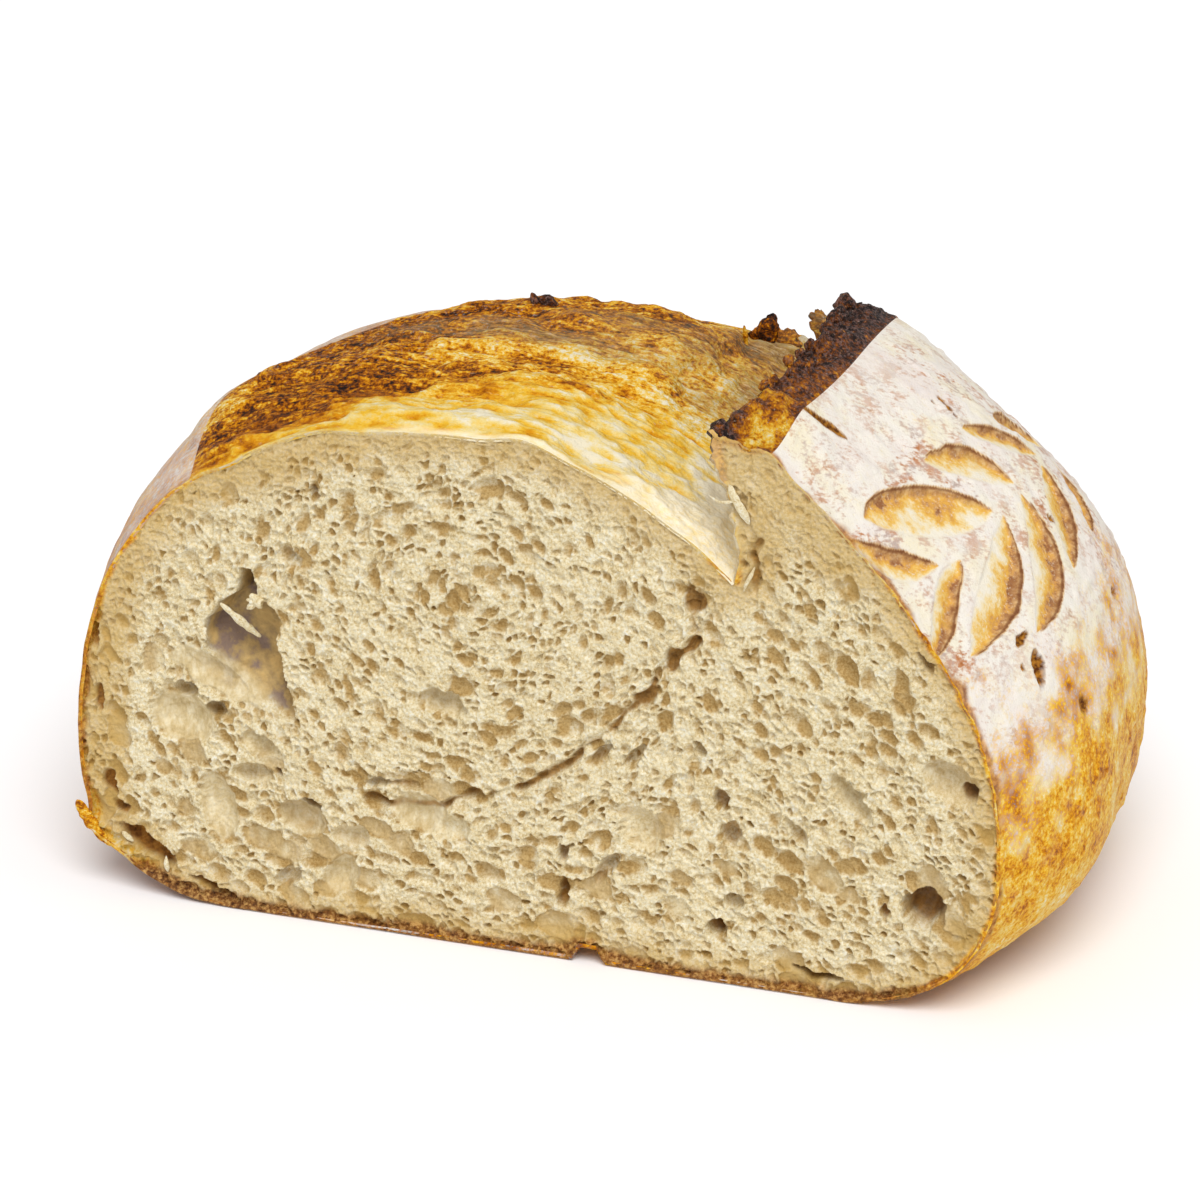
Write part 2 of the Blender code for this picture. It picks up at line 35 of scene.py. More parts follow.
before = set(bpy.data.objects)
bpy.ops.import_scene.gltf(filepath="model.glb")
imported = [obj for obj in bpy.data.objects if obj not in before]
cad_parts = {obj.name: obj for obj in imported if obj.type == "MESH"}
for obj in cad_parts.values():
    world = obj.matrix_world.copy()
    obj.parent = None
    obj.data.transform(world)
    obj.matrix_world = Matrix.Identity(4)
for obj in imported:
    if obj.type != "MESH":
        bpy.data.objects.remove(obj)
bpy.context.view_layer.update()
loafLow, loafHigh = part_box("loaf")
mm = 0.001
middleX = -1.5 * mm  # the section's middle in the row frame
faceY = loafLow.y  # the cut face
loafDepth = (loafHigh.y - loafLow.y) / mm
print("frame loaded, loaf depth", round(loafDepth, 1), "mm")

# camera and light

studio = {
    "azimuth": 18.5,
    "elevation": 23.0,
    "distance": 0.93,
    "lens": 143.0,
    "aim": (0.0141, 0.0, 0.0797),  # behind the cut face along y
    "floorColour": (250, 250, 251),
    "floorHalf": 4.0,
    "floorDrop": 0.0004,
    "worldColour": (1.0, 1.0, 1.0),
    "worldStrength": 0.50,
    "keyPlace": (0.40, -0.96, 1.52),  # the key light shines from here towards the loaf
    "keySoftness": 38.0,  # degrees across
    "keyPower": 2.4,
    "paint": 0.80,  # share of a screen colour that the loaf's colours have, because the light is strong
}


def linear(red, green, blue):
    # screen colour from 0 to 255 as the linear colour that shaders use
    screen = np.array((red, green, blue)) / 255
    curve = np.where(screen <= 0.04045, screen / 12.92, ((screen + 0.055) / 1.055) ** 2.4)
    return (float(curve[0]), float(curve[1]), float(curve[2]), 1.0)


def paint(red, green, blue):
    # a colour of the loaf, as it should look on the screen under the studio's light
    colour = linear(red, green, blue)
    return tuple(studio["paint"] * part for part in colour[:3]) + (1.0,)


def makeCamera():
    # the camera stands back from its aim along the viewing direction
    turn = math.radians(studio["azimuth"])
    lift = math.radians(studio["elevation"])
    back = Vector((math.sin(turn) * math.cos(lift), -math.cos(turn) * math.cos(lift), math.sin(lift)))
    aim = Vector(studio["aim"]) + Vector((0, faceY, 0))
    lens = bpy.data.cameras.new("camera")
    lens.lens = studio["lens"]
    lens.sensor_width = 36.0
    camera = bpy.data.objects.new("camera", lens)
    bpy.context.scene.collection.objects.link(camera)
    camera.location = aim + back * studio["distance"]
    camera.rotation_mode = "QUATERNION"
    camera.rotation_quaternion = (-back).to_track_quat("-Z", "Y")
    bpy.context.scene.camera = camera


def makeKeyLight():
    # a broad soft light from the upper right
    light = bpy.data.lights.new("keyLight", "SUN")
    light.angle = math.radians(studio["keySoftness"])
    light.energy = studio["keyPower"]
    item = bpy.data.objects.new("keyLight", light)
    bpy.context.scene.collection.objects.link(item)
    item.location = studio["keyPlace"]
    item.rotation_mode = "QUATERNION"
    item.rotation_quaternion = (-Vector(studio["keyPlace"])).to_track_quat("-Z", "Y")


def makeWorld():
    world = bpy.data.worlds.new("studio")
    world.use_nodes = True
    sky = world.node_tree.nodes["Background"]
    sky.inputs["Color"].default_value = (*studio["worldColour"], 1.0)
    sky.inputs["Strength"].default_value = studio["worldStrength"]
    bpy.context.scene.world = world


makeCamera()
makeKeyLight()
makeWorld()
bpy.context.scene.view_settings.view_transform = "Standard"

# helpers for shapes


def smoothStep(start, end, value):
    # 0 before the start, 1 after the end, 3 s squared minus 2 s cubed between
    share = np.clip((value - start) / (end - start), 0, 1)
    return share * share * (3 - 2 * share)


def hill(middle, span, value):
    # 1 at the middle, falling smoothly to 0 a span away
    return 1 - smoothStep(0, span, np.abs(value - middle))


def signedPower(value, power):
    return np.sign(value) * np.abs(value) ** power


def ovalPlace(across, up, halfLong, halfWide, turn):
    # place in an oval turned by some degrees: along it and across it, 1 at its edge
    cosine, sine = math.cos(math.radians(turn)), math.sin(math.radians(turn))
    return (across * cosine + up * sine) / halfLong, (up * cosine - across * sine) / halfWide


def latticeValue(x, y, z, seed):
    # a repeatable random value from 0 to 1 for whole numbers x, y and z
    mixed = (x * 374761393 + y * 668265263 + z * 1440662683 + seed * 1274126177) & 0xFFFFFFFF
    mixed = ((mixed ^ (mixed >> 13)) * 1274126177) & 0xFFFFFFFF
    return ((mixed ^ (mixed >> 16)) & 0xFFFFFF) / 0xFFFFFF


def noise(x, y, z, size, seed):
    # smooth noise from -1 to 1: lattice values blended over the eight corners of each cell
    scaled = [np.asarray(value, float) / length for value, length in zip((x, y, z), np.broadcast_to(size, 3))]
    low = [np.floor(value).astype(np.int64) for value in scaled]
    share = [(value - base) ** 2 * (3 - 2 * (value - base)) for value, base in zip(scaled, low)]
    total = 0.0
    for corner in range(8):
        step = (corner & 1, corner >> 1 & 1, corner >> 2)
        weight = 1.0
        for side, part in zip(step, share):
            weight = weight * (part if side else 1 - part)
        total = total + weight * latticeValue(*(base + side for base, side in zip(low, step)), seed)
    return 2 * total - 1


def layeredNoise(x, y, z, size, seed, layers=3):
    # noise added at halved sizes and halved heights
    size = np.asarray(size, float)
    total = 0.0
    for layer in range(layers):
        total = total + noise(x, y, z, size / 2 ** layer, seed + layer) / 2 ** layer
    return total / (2 - 0.5 ** (layers - 1))


def flatNoise(x, z, size, seed):
    # the same smooth noise on a plane: the third of its directions stays at 0
    return noise(x, z, 0 * x, size, seed)


# the loaf's form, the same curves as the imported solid

form = {
    "bulgeDepth": 46.5, "halfWidth": 97.5, "widestZ": 35.3, "plainTop": 112.5, "foot": 61.4,
    "rightGain": 0.135, "rightTopGain": 0.09, "leftGain": 0.09, "sideBlend": 37.0,
    "planPower": 2.6, "topPower": 2.25, "baseFlatDepth": 84.0, "basePower": 2.35,
    "openingEnd": 112.0, "openingFade": 78.0,
    "lip": (49.8, 114.3), "band": (-7.5, 3.8), "spur": (-5.1, -2.3), "spurDepth": 9.0,
    "wallBend": (46.0, 100.0), "valleyAngle": math.radians(41), "ridgeAngle": math.radians(131),
    "lipAngle": math.radians(60), "ridgeRun": (2.2, 0.7),
    "lipRise": 4.6, "lipRiseFront": 15.0, "lipRiseBack": 80.0,
    "bloomRise": 4.5, "bloomRiseDepth": 80.0, "bloomRiseSpan": 45.0,
    "domeX": -14.9, "domeTop": 111.9, "domeLeft": 82.6, "domeRight": 75.3,
    "domePower": 2.1, "plainPower": 2.25, "lowLeftPower": 2.6, "lowRightPower": 2.4,
    "shoulder": 0.22, "shoulderDepth": 42.0, "skinRise": 33.5, "skinDrop": (24.7, -25.1),
    "skinSwell": (4.6, 4.8), "skinSwellDepth": 62.0, "skinSwellSpan": 60.0,
    "lumpHeight": 1.1, "lumpSize": 27.0, "cragHeight": 3.2, "cragSize": 5.5,
    "bubbleHeight": 1.5, "bubbleSize": (11.0, 6.0, 11.0),
    "shelfDrop": 2.2, "shelfX": 17.0, "shelfFront": 42.0, "shelfBack": 96.0,
    "ridgeHeight": 2.4, "ridgeDepth": 34.0, "ridgeSpan": 34.0,
    "peakHeight": 4.5, "peakX": 26.0, "peakDepth": 98.0, "peakSpan": 9.0,
    "flakeHeight": 3.0, "flakeDepth": 5.0,
    "notchX": 13.0, "notchHalfWidth": 4.0, "notchHeight": 3.0, "notchDepth": 8.0,
}


def closing(depth, start, power):
    # scale of the section: 1 up to the start, then a superellipse down to 0 at the rear end
    share = np.clip((depth - start) / (loafDepth - start), 0, 1)
    return (1 - share ** power) ** (1 / power)


def plainCurve(angle):
    # superellipse of the unscored section
    high = form["plainTop"] - form["widestZ"]
    return np.stack((form["halfWidth"] * signedPower(np.cos(angle), 2 / form["plainPower"]),
                     form["widestZ"] + high * np.abs(np.sin(angle)) ** (2 / form["plainPower"])), -1)


def domeCurve(angle, depth):
    # superellipse of the bloom and the left side, squarer on the left behind the cut
    cosine = np.cos(angle)
    power = form["domePower"] + form["shoulder"] * smoothStep(0, form["shoulderDepth"], depth) * (cosine < 0)
    reach = np.where(cosine > 0, form["domeRight"], form["domeLeft"])
    rise = hill(form["bloomRiseDepth"], form["bloomRiseSpan"], depth) * smoothStep(-0.3, 0.3, cosine)
    high = form["domeTop"] + form["bloomRise"] * rise - form["widestZ"]
    return np.stack((form["domeX"] + reach * signedPower(cosine, 2 / power),
                     form["widestZ"] + high * np.abs(np.sin(angle)) ** (2 / power)), -1)


def lowCurve(share, side):
    # from the widest place down to the edge of the flat base
    angle = np.pi / 2 * share
    power = form["lowRightPower"] if side > 0 else form["lowLeftPower"]
    wide = form["halfWidth"] - form["foot"]
    return np.stack((side * (form["foot"] + wide * np.cos(angle) ** (2 / power)),
                     form["widestZ"] * (1 - np.sin(angle) ** (2 / power))), -1)


def skinCurve(share):
    # Bezier curve from the widest place up to the lip
    start = np.array((form["halfWidth"], form["widestZ"]))
    lip = np.array(form["lip"])
    points = (start, start + (0, form["skinRise"]), lip + form["skinDrop"], lip)
    weights = ((1 - share) ** 3, 3 * (1 - share) ** 2 * share, 3 * (1 - share) * share ** 2, share ** 3)
    return sum(weight[..., None] * point for weight, point in zip(weights, points))


def ridgeAngle(depth):
    opened = (1 - np.clip(depth / form["openingEnd"], 0, 1) ** form["ridgeRun"][0]) ** form["ridgeRun"][1]
    return form["lipAngle"] + (form["ridgeAngle"] - form["lipAngle"]) * opened


def flatSection(stretch, share, depth):
    # x and z on the section before its scale: scored ahead, plain behind the opening
    ridge = ridgeAngle(depth)
    rise = smoothStep(0, form["lipRiseFront"], depth)
    rise = rise * (1 - smoothStep(form["lipRiseBack"], form["openingEnd"], depth))
    lift = np.stack((0 * share, form["lipRise"] * rise + 0 * share), -1)
    lip = np.array(form["lip"]) + lift
    tip = lip + form["band"] + np.array(form["spur"]) * hill(0, form["spurDepth"], depth)[..., None]
    valley = domeCurve(form["valleyAngle"] + 0 * share, depth)
    if stretch == "right":
        fullness = 6.75 * share ** 2 * (1 - share)
        fullness = fullness * hill(form["skinSwellDepth"], form["skinSwellSpan"], depth)
        swell = np.array(form["skinSwell"]) * fullness[..., None]
        scored = skinCurve(share) + swell + lift * share[..., None] ** 3
        plain = plainCurve(form["lipAngle"] * share)
    elif stretch == "band":
        scored = lip + (tip - lip) * share[..., None]
        plain = plainCurve(form["lipAngle"] + 0 * share)
    elif stretch == "wall":
        weights = ((1 - share) ** 2, 2 * (1 - share) * share, share ** 2)
        corners = (tip, np.array(form["wallBend"]), valley)
        scored = sum(weight[..., None] * point for weight, point in zip(weights, corners))
        plain = plainCurve(form["lipAngle"] + 0 * share)
    elif stretch == "bloom":
        scored = domeCurve(form["valleyAngle"] + (ridge - form["valleyAngle"]) * share, depth)
        plain = plainCurve(form["lipAngle"] + (ridge - form["lipAngle"]) * share)
    elif stretch == "left":
        angle = ridge + (np.pi - ridge) * share
        scored = domeCurve(angle, depth)
        plain = plainCurve(angle)
    elif stretch == "leftLow":
        scored = plain = lowCurve(share, -1)
    elif stretch == "rightLow":
        scored = plain = lowCurve(1 - share, 1)
    else:
        scored = plain = np.stack((form["foot"] * (2 * share - 1), 0 * share), -1)
    opened = 1 - smoothStep(form["openingFade"], form["openingEnd"], depth)
    return plain + np.asarray(opened)[..., None] * (scored - plain)


def sectionPoints(stretch, share, depth):
    # the same points after the section's scale at each depth, as x, depth and z
    share, depth = np.broadcast_arrays(np.asarray(share, float), np.asarray(depth, float))
    flat = flatSection(stretch, share, depth)
    widest = form["widestZ"]
    right = form["rightTopGain"] - form["rightGain"]
    right = form["rightGain"] + right * smoothStep(2 * widest, form["plainTop"], flat[..., 1])
    across = smoothStep(-form["sideBlend"], form["sideBlend"], flat[..., 0])
    gain = form["leftGain"] + (right - form["leftGain"]) * across
    swollen = 1 - (1 - np.clip(depth / form["bulgeDepth"], 0, 1)) ** 2
    wide = (1 + gain * swollen) * closing(depth, form["bulgeDepth"], form["planPower"])
    above = closing(depth, form["bulgeDepth"], form["topPower"])
    below = closing(depth, form["baseFlatDepth"], form["basePower"])
    upright = np.where(flat[..., 1] > widest, above, below)
    return np.stack((flat[..., 0] * wide, depth, widest + (flat[..., 1] - widest) * upright), -1)


def broadRelief(stretch, share, depth, x, z):
    # height of the crust's lumps, bubbles, torn shelf, ridge, peak, crags and flake
    fade = np.sqrt(closing(depth, form["bulgeDepth"], form["planPower"]))
    fade = fade * smoothStep(0, form["widestZ"] / 2, z)
    height = form["lumpHeight"] * noise(x, depth, z, form["lumpSize"], 1)
    if stretch == "bloom":
        middle = smoothStep(0, 0.08, share) * smoothStep(0, 0.1, 1 - share)
        height = height + middle * form["bubbleHeight"] * noise(x, depth, z, form["bubbleSize"], 2)
        edge = form["shelfX"] + 4 * noise(0 * x, depth, 0 * z, 8, 3)
        along = smoothStep(form["shelfFront"], form["shelfFront"] + 10, depth)
        along = along * (1 - smoothStep(form["shelfBack"], form["openingEnd"], depth))
        along = along * smoothStep(0, 0.05, share)
        height = height - form["shelfDrop"] * smoothStep(edge - 2, edge + 2, x) * along
        peak = hill(form["peakX"], form["peakSpan"], x) * hill(form["peakDepth"], form["peakSpan"], depth)
        height = height + form["peakHeight"] * peak * smoothStep(0, 0.06, share)
    if stretch in ("bloom", "left"):
        beside = hill(1, 0.2, share) if stretch == "bloom" else hill(0, 0.25, share)
        height = height + form["ridgeHeight"] * beside * hill(form["ridgeDepth"], form["ridgeSpan"], depth)
    if stretch in ("band", "wall"):
        rough = 1 - smoothStep(form["openingFade"], form["openingEnd"], depth)
        nearTip = smoothStep(0, 1, share) if stretch == "band" else (1 - share) ** 2
        height = height + form["cragHeight"] * rough * nearTip * noise(x, depth, z, form["cragSize"], 4)
    if stretch == "leftLow":
        height = height + form["flakeHeight"] * hill(0.36, 0.16, share) * hill(0, form["flakeDepth"], depth)
        fade = np.sqrt(fade)
    return height * fade


def surfacePoints(stretch, share, depth):
    # section points moved away from the section's middle by the broad relief
    share, depth = np.broadcast_arrays(np.asarray(share, float), np.asarray(depth, float))
    points = sectionPoints(stretch, share, depth)
    if stretch == "base":
        notch = smoothStep(0, 0.5, hill(form["notchX"], form["notchHalfWidth"], points[..., 0]))
        points[..., 2] += form["notchHeight"] * notch * (1 - smoothStep(0.5, 1, depth / form["notchDepth"]))
        return points
    away = points - (0, 0, form["widestZ"])
    away[..., 1] = 0
    away = away / np.maximum(np.linalg.norm(away, axis=-1, keepdims=True), 1)
    height = broadRelief(stretch, share, depth, points[..., 0], points[..., 2])
    return points + away * height[..., None]


def arcAlong(points):
    # distance walked along the columns of a grid from its first column
    steps = np.linalg.norm(np.diff(points, axis=1), axis=-1)
    return np.concatenate((np.zeros((len(points), 1)), np.cumsum(steps, axis=1)), axis=1)


def gridNormals(points):
    # cross product of the two ways along the grid, pointing outwards
    back = np.gradient(points, axis=0)
    around = np.gradient(points, axis=1)
    out = np.cross(back, around)
    return out / np.maximum(np.linalg.norm(out, axis=-1, keepdims=True), 1e-9)


def sharesBySpacing(stretch, distances):
    # shares that lie the given distances from the stretch's end, measured at a middle depth
    shares = np.linspace(1, 0, 800)
    line = sectionPoints(stretch, shares, 30.0)
    way = np.concatenate(((0,), np.cumsum(np.linalg.norm(np.diff(line, axis=0), axis=-1))))
    distances = np.append(distances[distances < way[-1]], way[-1])
    return np.interp(distances, way, shares)[::-1]


# rows and columns shared by the crust pieces

rows = {"fineEnd": 70.0, "fineStep": 0.42, "openingStep": 0.8, "rearRows": 56}


def rowStations():
    # even steps to the end of the opening, then steps of equal turn round to the rear end
    fine = np.arange(0, rows["fineEnd"], rows["fineStep"])
    count = round((form["openingEnd"] - rows["fineEnd"]) / rows["openingStep"])
    middle = np.linspace(rows["fineEnd"], form["openingEnd"], count + 1)
    span = loafDepth - form["bulgeDepth"]
    turn = np.arcsin(((form["openingEnd"] - form["bulgeDepth"]) / span) ** (form["planPower"] / 2))
    turns = np.linspace(turn, np.pi / 2, rows["rearRows"] + 1)[1:-1]
    rear = form["bulgeDepth"] + span * np.sin(turns) ** (2 / form["planPower"])
    return np.concatenate((fine, middle, rear)), len(fine) + count


depthRows, openingRow = rowStations()


def toRow(points):
    # millimetres of the section's frame as metres of the row frame
    return np.stack((points[..., 0] * mm + middleX, points[..., 1] * mm + faceY, points[..., 2] * mm), -1)


def addPiece(name, points, faces, material, masks):
    # one mesh from points in millimetres, with its masks as attributes
    used, places = np.unique(np.concatenate([face.ravel() for face in faces]), return_inverse=True)
    mesh = bpy.data.meshes.new(name)
    lists = []
    start = 0
    for face in faces:
        lists += places[start:start + face.size].reshape(face.shape).tolist()
        start += face.size
    mesh.from_pydata(toRow(points[used]).tolist(), [], lists)
    for mask, values in masks.items():
        layer = mesh.attributes.new(mask, "FLOAT", "POINT")
        layer.data.foreach_set("value", np.ascontiguousarray(values[used], dtype=np.float32))
    mesh.polygons.foreach_set("use_smooth", np.ones(len(mesh.polygons), dtype=bool))
    mesh.materials.append(material)
    mesh.update()
    item = bpy.data.objects.new(name, mesh)
    bpy.context.scene.collection.objects.link(item)
    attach(item, "root")
    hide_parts("loaf")
    print(name, len(used), "points", len(lists), "faces")
    return item


def gridFaces(ids):
    # quads of a grid of point numbers, facing outwards
    corners = (ids[:-1, :-1], ids[1:, :-1], ids[1:, 1:], ids[:-1, 1:])
    return np.stack([corner.ravel() for corner in corners], -1)


def fanFaces(ring, pole):
    # triangles from the last row to one point
    return np.stack((ring[:-1], np.full(len(ring) - 1, pole), ring[1:]), -1)


tuck = {"inwards": 0.8, "back": 0.35}


def tuckRow(firstRow):
    # a copy of the first row, turned in behind the rim so that no gap shows at the cut
    towards = np.array((0, 0, form["widestZ"])) - firstRow
    towards[:, 1] = 0
    towards = towards / np.linalg.norm(towards, axis=1, keepdims=True)
    return firstRow + towards * tuck["inwards"] + (0, tuck["back"], 0)


def tuckedGrid(points, masks):
    # the grid's points with the tuck before its first row, their numbers row by row, and the masks to match
    allPoints = np.concatenate((tuckRow(points[0])[None], points), axis=0)
    ids = np.arange(allPoints.shape[0] * allPoints.shape[1]).reshape(allPoints.shape[:2])
    masks = {name: np.concatenate((values[:1], values)).ravel() for name, values in masks.items()}
    return allPoints.reshape(-1, 3), ids, masks


def withRearEnd(points, ids, masks):
    # the loaf's rear end as one more point, with the masks of the first point in the last row
    points = np.concatenate((points, [(0, loafDepth, form["widestZ"])]))
    masks = {name: np.append(values, values[ids[-1, 0]]) for name, values in masks.items()}
    return points, masks


# materials: helpers and shared groups


def newMaterial(name):
    material = bpy.data.materials.new(name)
    material.use_nodes = True
    return material, material.node_tree, material.node_tree.nodes["Principled BSDF"]


def addNode(tree, kind, **settings):
    node = tree.nodes.new("ShaderNode" + kind)
    for setting, value in settings.items():
        setattr(node, setting, value)
    return node


def feed(tree, source, socket):
    # a node's output or a plain value goes into a socket
    if isinstance(source, bpy.types.NodeSocket):
        tree.links.new(source, socket)
    else:
        socket.default_value = source


def mask(tree, name):
    return addNode(tree, "Attribute", attribute_name=name).outputs["Fac"]


def calculate(tree, operation, first, second=0.0, clamp=False):
    node = addNode(tree, "Math", operation=operation, use_clamp=clamp)
    feed(tree, first, node.inputs[0])
    feed(tree, second, node.inputs[1])
    return node.outputs[0]


def spread(tree, value, low, high, newLow=0.0, newHigh=1.0):
    # a value between low and high stretched to the new range, with soft ends
    node = addNode(tree, "MapRange", interpolation_type="SMOOTHSTEP")
    for place, source in enumerate((value, low, high, newLow, newHigh)):
        feed(tree, source, node.inputs[place])
    return node.outputs[0]


def blendColour(tree, share, first, second, kind="MIX"):
    node = addNode(tree, "Mix", data_type="RGBA", blend_type=kind)
    feed(tree, share, node.inputs[0])
    feed(tree, first, node.inputs[6])
    feed(tree, second, node.inputs[7])
    return node.outputs[2]


def ramp(tree, value, stops):
    node = addNode(tree, "ValToRGB")
    elements = node.color_ramp.elements
    while len(elements) < len(stops):
        elements.new(0.5)
    for element, (place, colour) in zip(elements, stops):
        element.position = place
        element.color = colour
    feed(tree, value, node.inputs[0])
    return node.outputs[0]


def grain(tree, size, detail=3.0, roughness=0.55, stretch=(1, 1, 1), turn=(0, 0, 0), shift=0.0):
    # noise on object coordinates with patches of about the given size in millimetres
    place = addNode(tree, "TexCoord").outputs["Object"]
    mapping = addNode(tree, "Mapping")
    mapping.inputs["Rotation"].default_value = turn
    mapping.inputs["Location"].default_value = (shift, shift, shift)
    mapping.inputs["Scale"].default_value = [1 / (part * size * mm) for part in stretch]
    feed(tree, place, mapping.inputs["Vector"])
    node = addNode(tree, "TexNoise")
    node.inputs["Scale"].default_value = 1.0
    node.inputs["Detail"].default_value = detail
    node.inputs["Roughness"].default_value = roughness
    feed(tree, mapping.outputs[0], node.inputs["Vector"])
    return node.outputs["Fac"]


def swing(tree, value, amount):
    # a value from 0 to 1 as a swing to both sides of 0: the value less a half, times the amount
    return calculate(tree, "MULTIPLY", calculate(tree, "SUBTRACT", value, 0.5), amount)


def bump(tree, shader, height, strength, distance):
    node = addNode(tree, "Bump")
    node.inputs["Strength"].default_value = strength
    node.inputs["Distance"].default_value = distance * mm
    feed(tree, height, node.inputs["Height"])
    feed(tree, node.outputs[0], shader.inputs["Normal"])


def newGroup(name, inputs, outputs):
    group = bpy.data.node_groups.new(name, "ShaderNodeTree")
    for label, kind in inputs:
        group.interface.new_socket(name=label, in_out="INPUT", socket_type=kind)
    for label, kind in outputs:
        group.interface.new_socket(name=label, in_out="OUTPUT", socket_type=kind)
    return group, group.nodes.new("NodeGroupInput").outputs, group.nodes.new("NodeGroupOutput").inputs


def useGroup(tree, group, values):
    node = addNode(tree, "Group")
    node.node_tree = group
    for label, value in values.items():
        feed(tree, value, node.inputs[label])
    return node.outputs


toastStops = (
    (0.00, paint(255, 244, 214)),
    (0.14, paint(255, 228, 146)),
    (0.30, paint(254, 202, 60)),
    (0.46, paint(234, 156, 14)),
    (0.62, paint(182, 102, 10)),
    (0.78, paint(114, 58, 12)),
    (0.92, paint(62, 38, 28)),
    (1.00, paint(34, 22, 20)),
)


def makeToastGroup():
    # crust colour for a bake from 0, pale, to 1, burnt, mottled at two sizes
    group, given, out = newGroup("toastColour", (("Bake", "NodeSocketFloat"), ("Mottle", "NodeSocketFloat")),
                                 (("Color", "NodeSocketColor"),))
    broad = swing(group, grain(group, 5.0, 4.0, 0.65), 0.7)
    fine = swing(group, grain(group, 0.9, 3.0, 0.65), 1.2)
    sway = calculate(group, "ADD", broad, fine)
    sway = calculate(group, "MULTIPLY", sway, given["Mottle"])
    bake = calculate(group, "ADD", given["Bake"], sway, clamp=True)
    feed(group, ramp(group, bake, toastStops), out["Color"])
    return group


def makeFlourGroup():
    # flour over a crust: patchy where thin, tinted from cream to lavender
    group, given, out = newGroup("flourDust", (("Crust", "NodeSocketColor"), ("Flour", "NodeSocketFloat")),
                                 (("Color", "NodeSocketColor"), ("Cover", "NodeSocketFloat")))
    cloud = grain(group, 9.0, 4.0, 0.6)
    speck = grain(group, 0.9, 3.0, 0.7)
    patches = calculate(group, "ADD", swing(group, speck, 1.5), swing(group, cloud, 0.7))
    amount = calculate(group, "ADD", given["Flour"], patches)
    cover = spread(group, amount, 0.15, 0.95, 0.0, 0.94)
    tint = grain(group, 14.0, 3.0, 0.6, shift=3.0)
    dust = ramp(group, tint, ((0.36, paint(252, 243, 236)), (0.50, paint(255, 250, 241)),
                              (0.64, paint(255, 247, 223))))
    feed(group, blendColour(group, cover, given["Crust"], dust), out["Color"])
    feed(group, cover, out["Cover"])
    return group


def makeGrainGroup():
    # fine height of a baked surface, from three sizes of noise
    group, given, out = newGroup("fineGrain", (("Coarse", "NodeSocketFloat"), ("Fine", "NodeSocketFloat")),
                                 (("Height", "NodeSocketFloat"),))
    coarse = calculate(group, "MULTIPLY", grain(group, 2.2, 3.0, 0.55), given["Coarse"])
    fine = calculate(group, "MULTIPLY", grain(group, 0.45, 3.0, 0.65), given["Fine"])
    feed(group, calculate(group, "ADD", coarse, fine), out["Height"])
    return group


def makeStrawGroup():
    # stretched dough that the oven only dried: grey-beige with fine fibres across the loaf
    group, given, out = newGroup("strawFibre", (("Shade", "NodeSocketFloat"),),
                                 (("Color", "NodeSocketColor"),))
    fibre = grain(group, 0.7, 4.0, 0.65, (7.0, 1.0, 1.2))
    fibre = calculate(group, "ADD", fibre, calculate(group, "SUBTRACT", given["Shade"], 0.5))
    straw = ramp(group, fibre, ((0.28, paint(104, 76, 40)), (0.46, paint(160, 128, 82)),
                                (0.58, paint(190, 162, 116)), (0.72, paint(236, 220, 186))))
    feed(group, straw, out["Color"])
    return group


toastGroup = makeToastGroup()
strawGroup = makeStrawGroup()
flourGroup = makeFlourGroup()
grainGroup = makeGrainGroup()


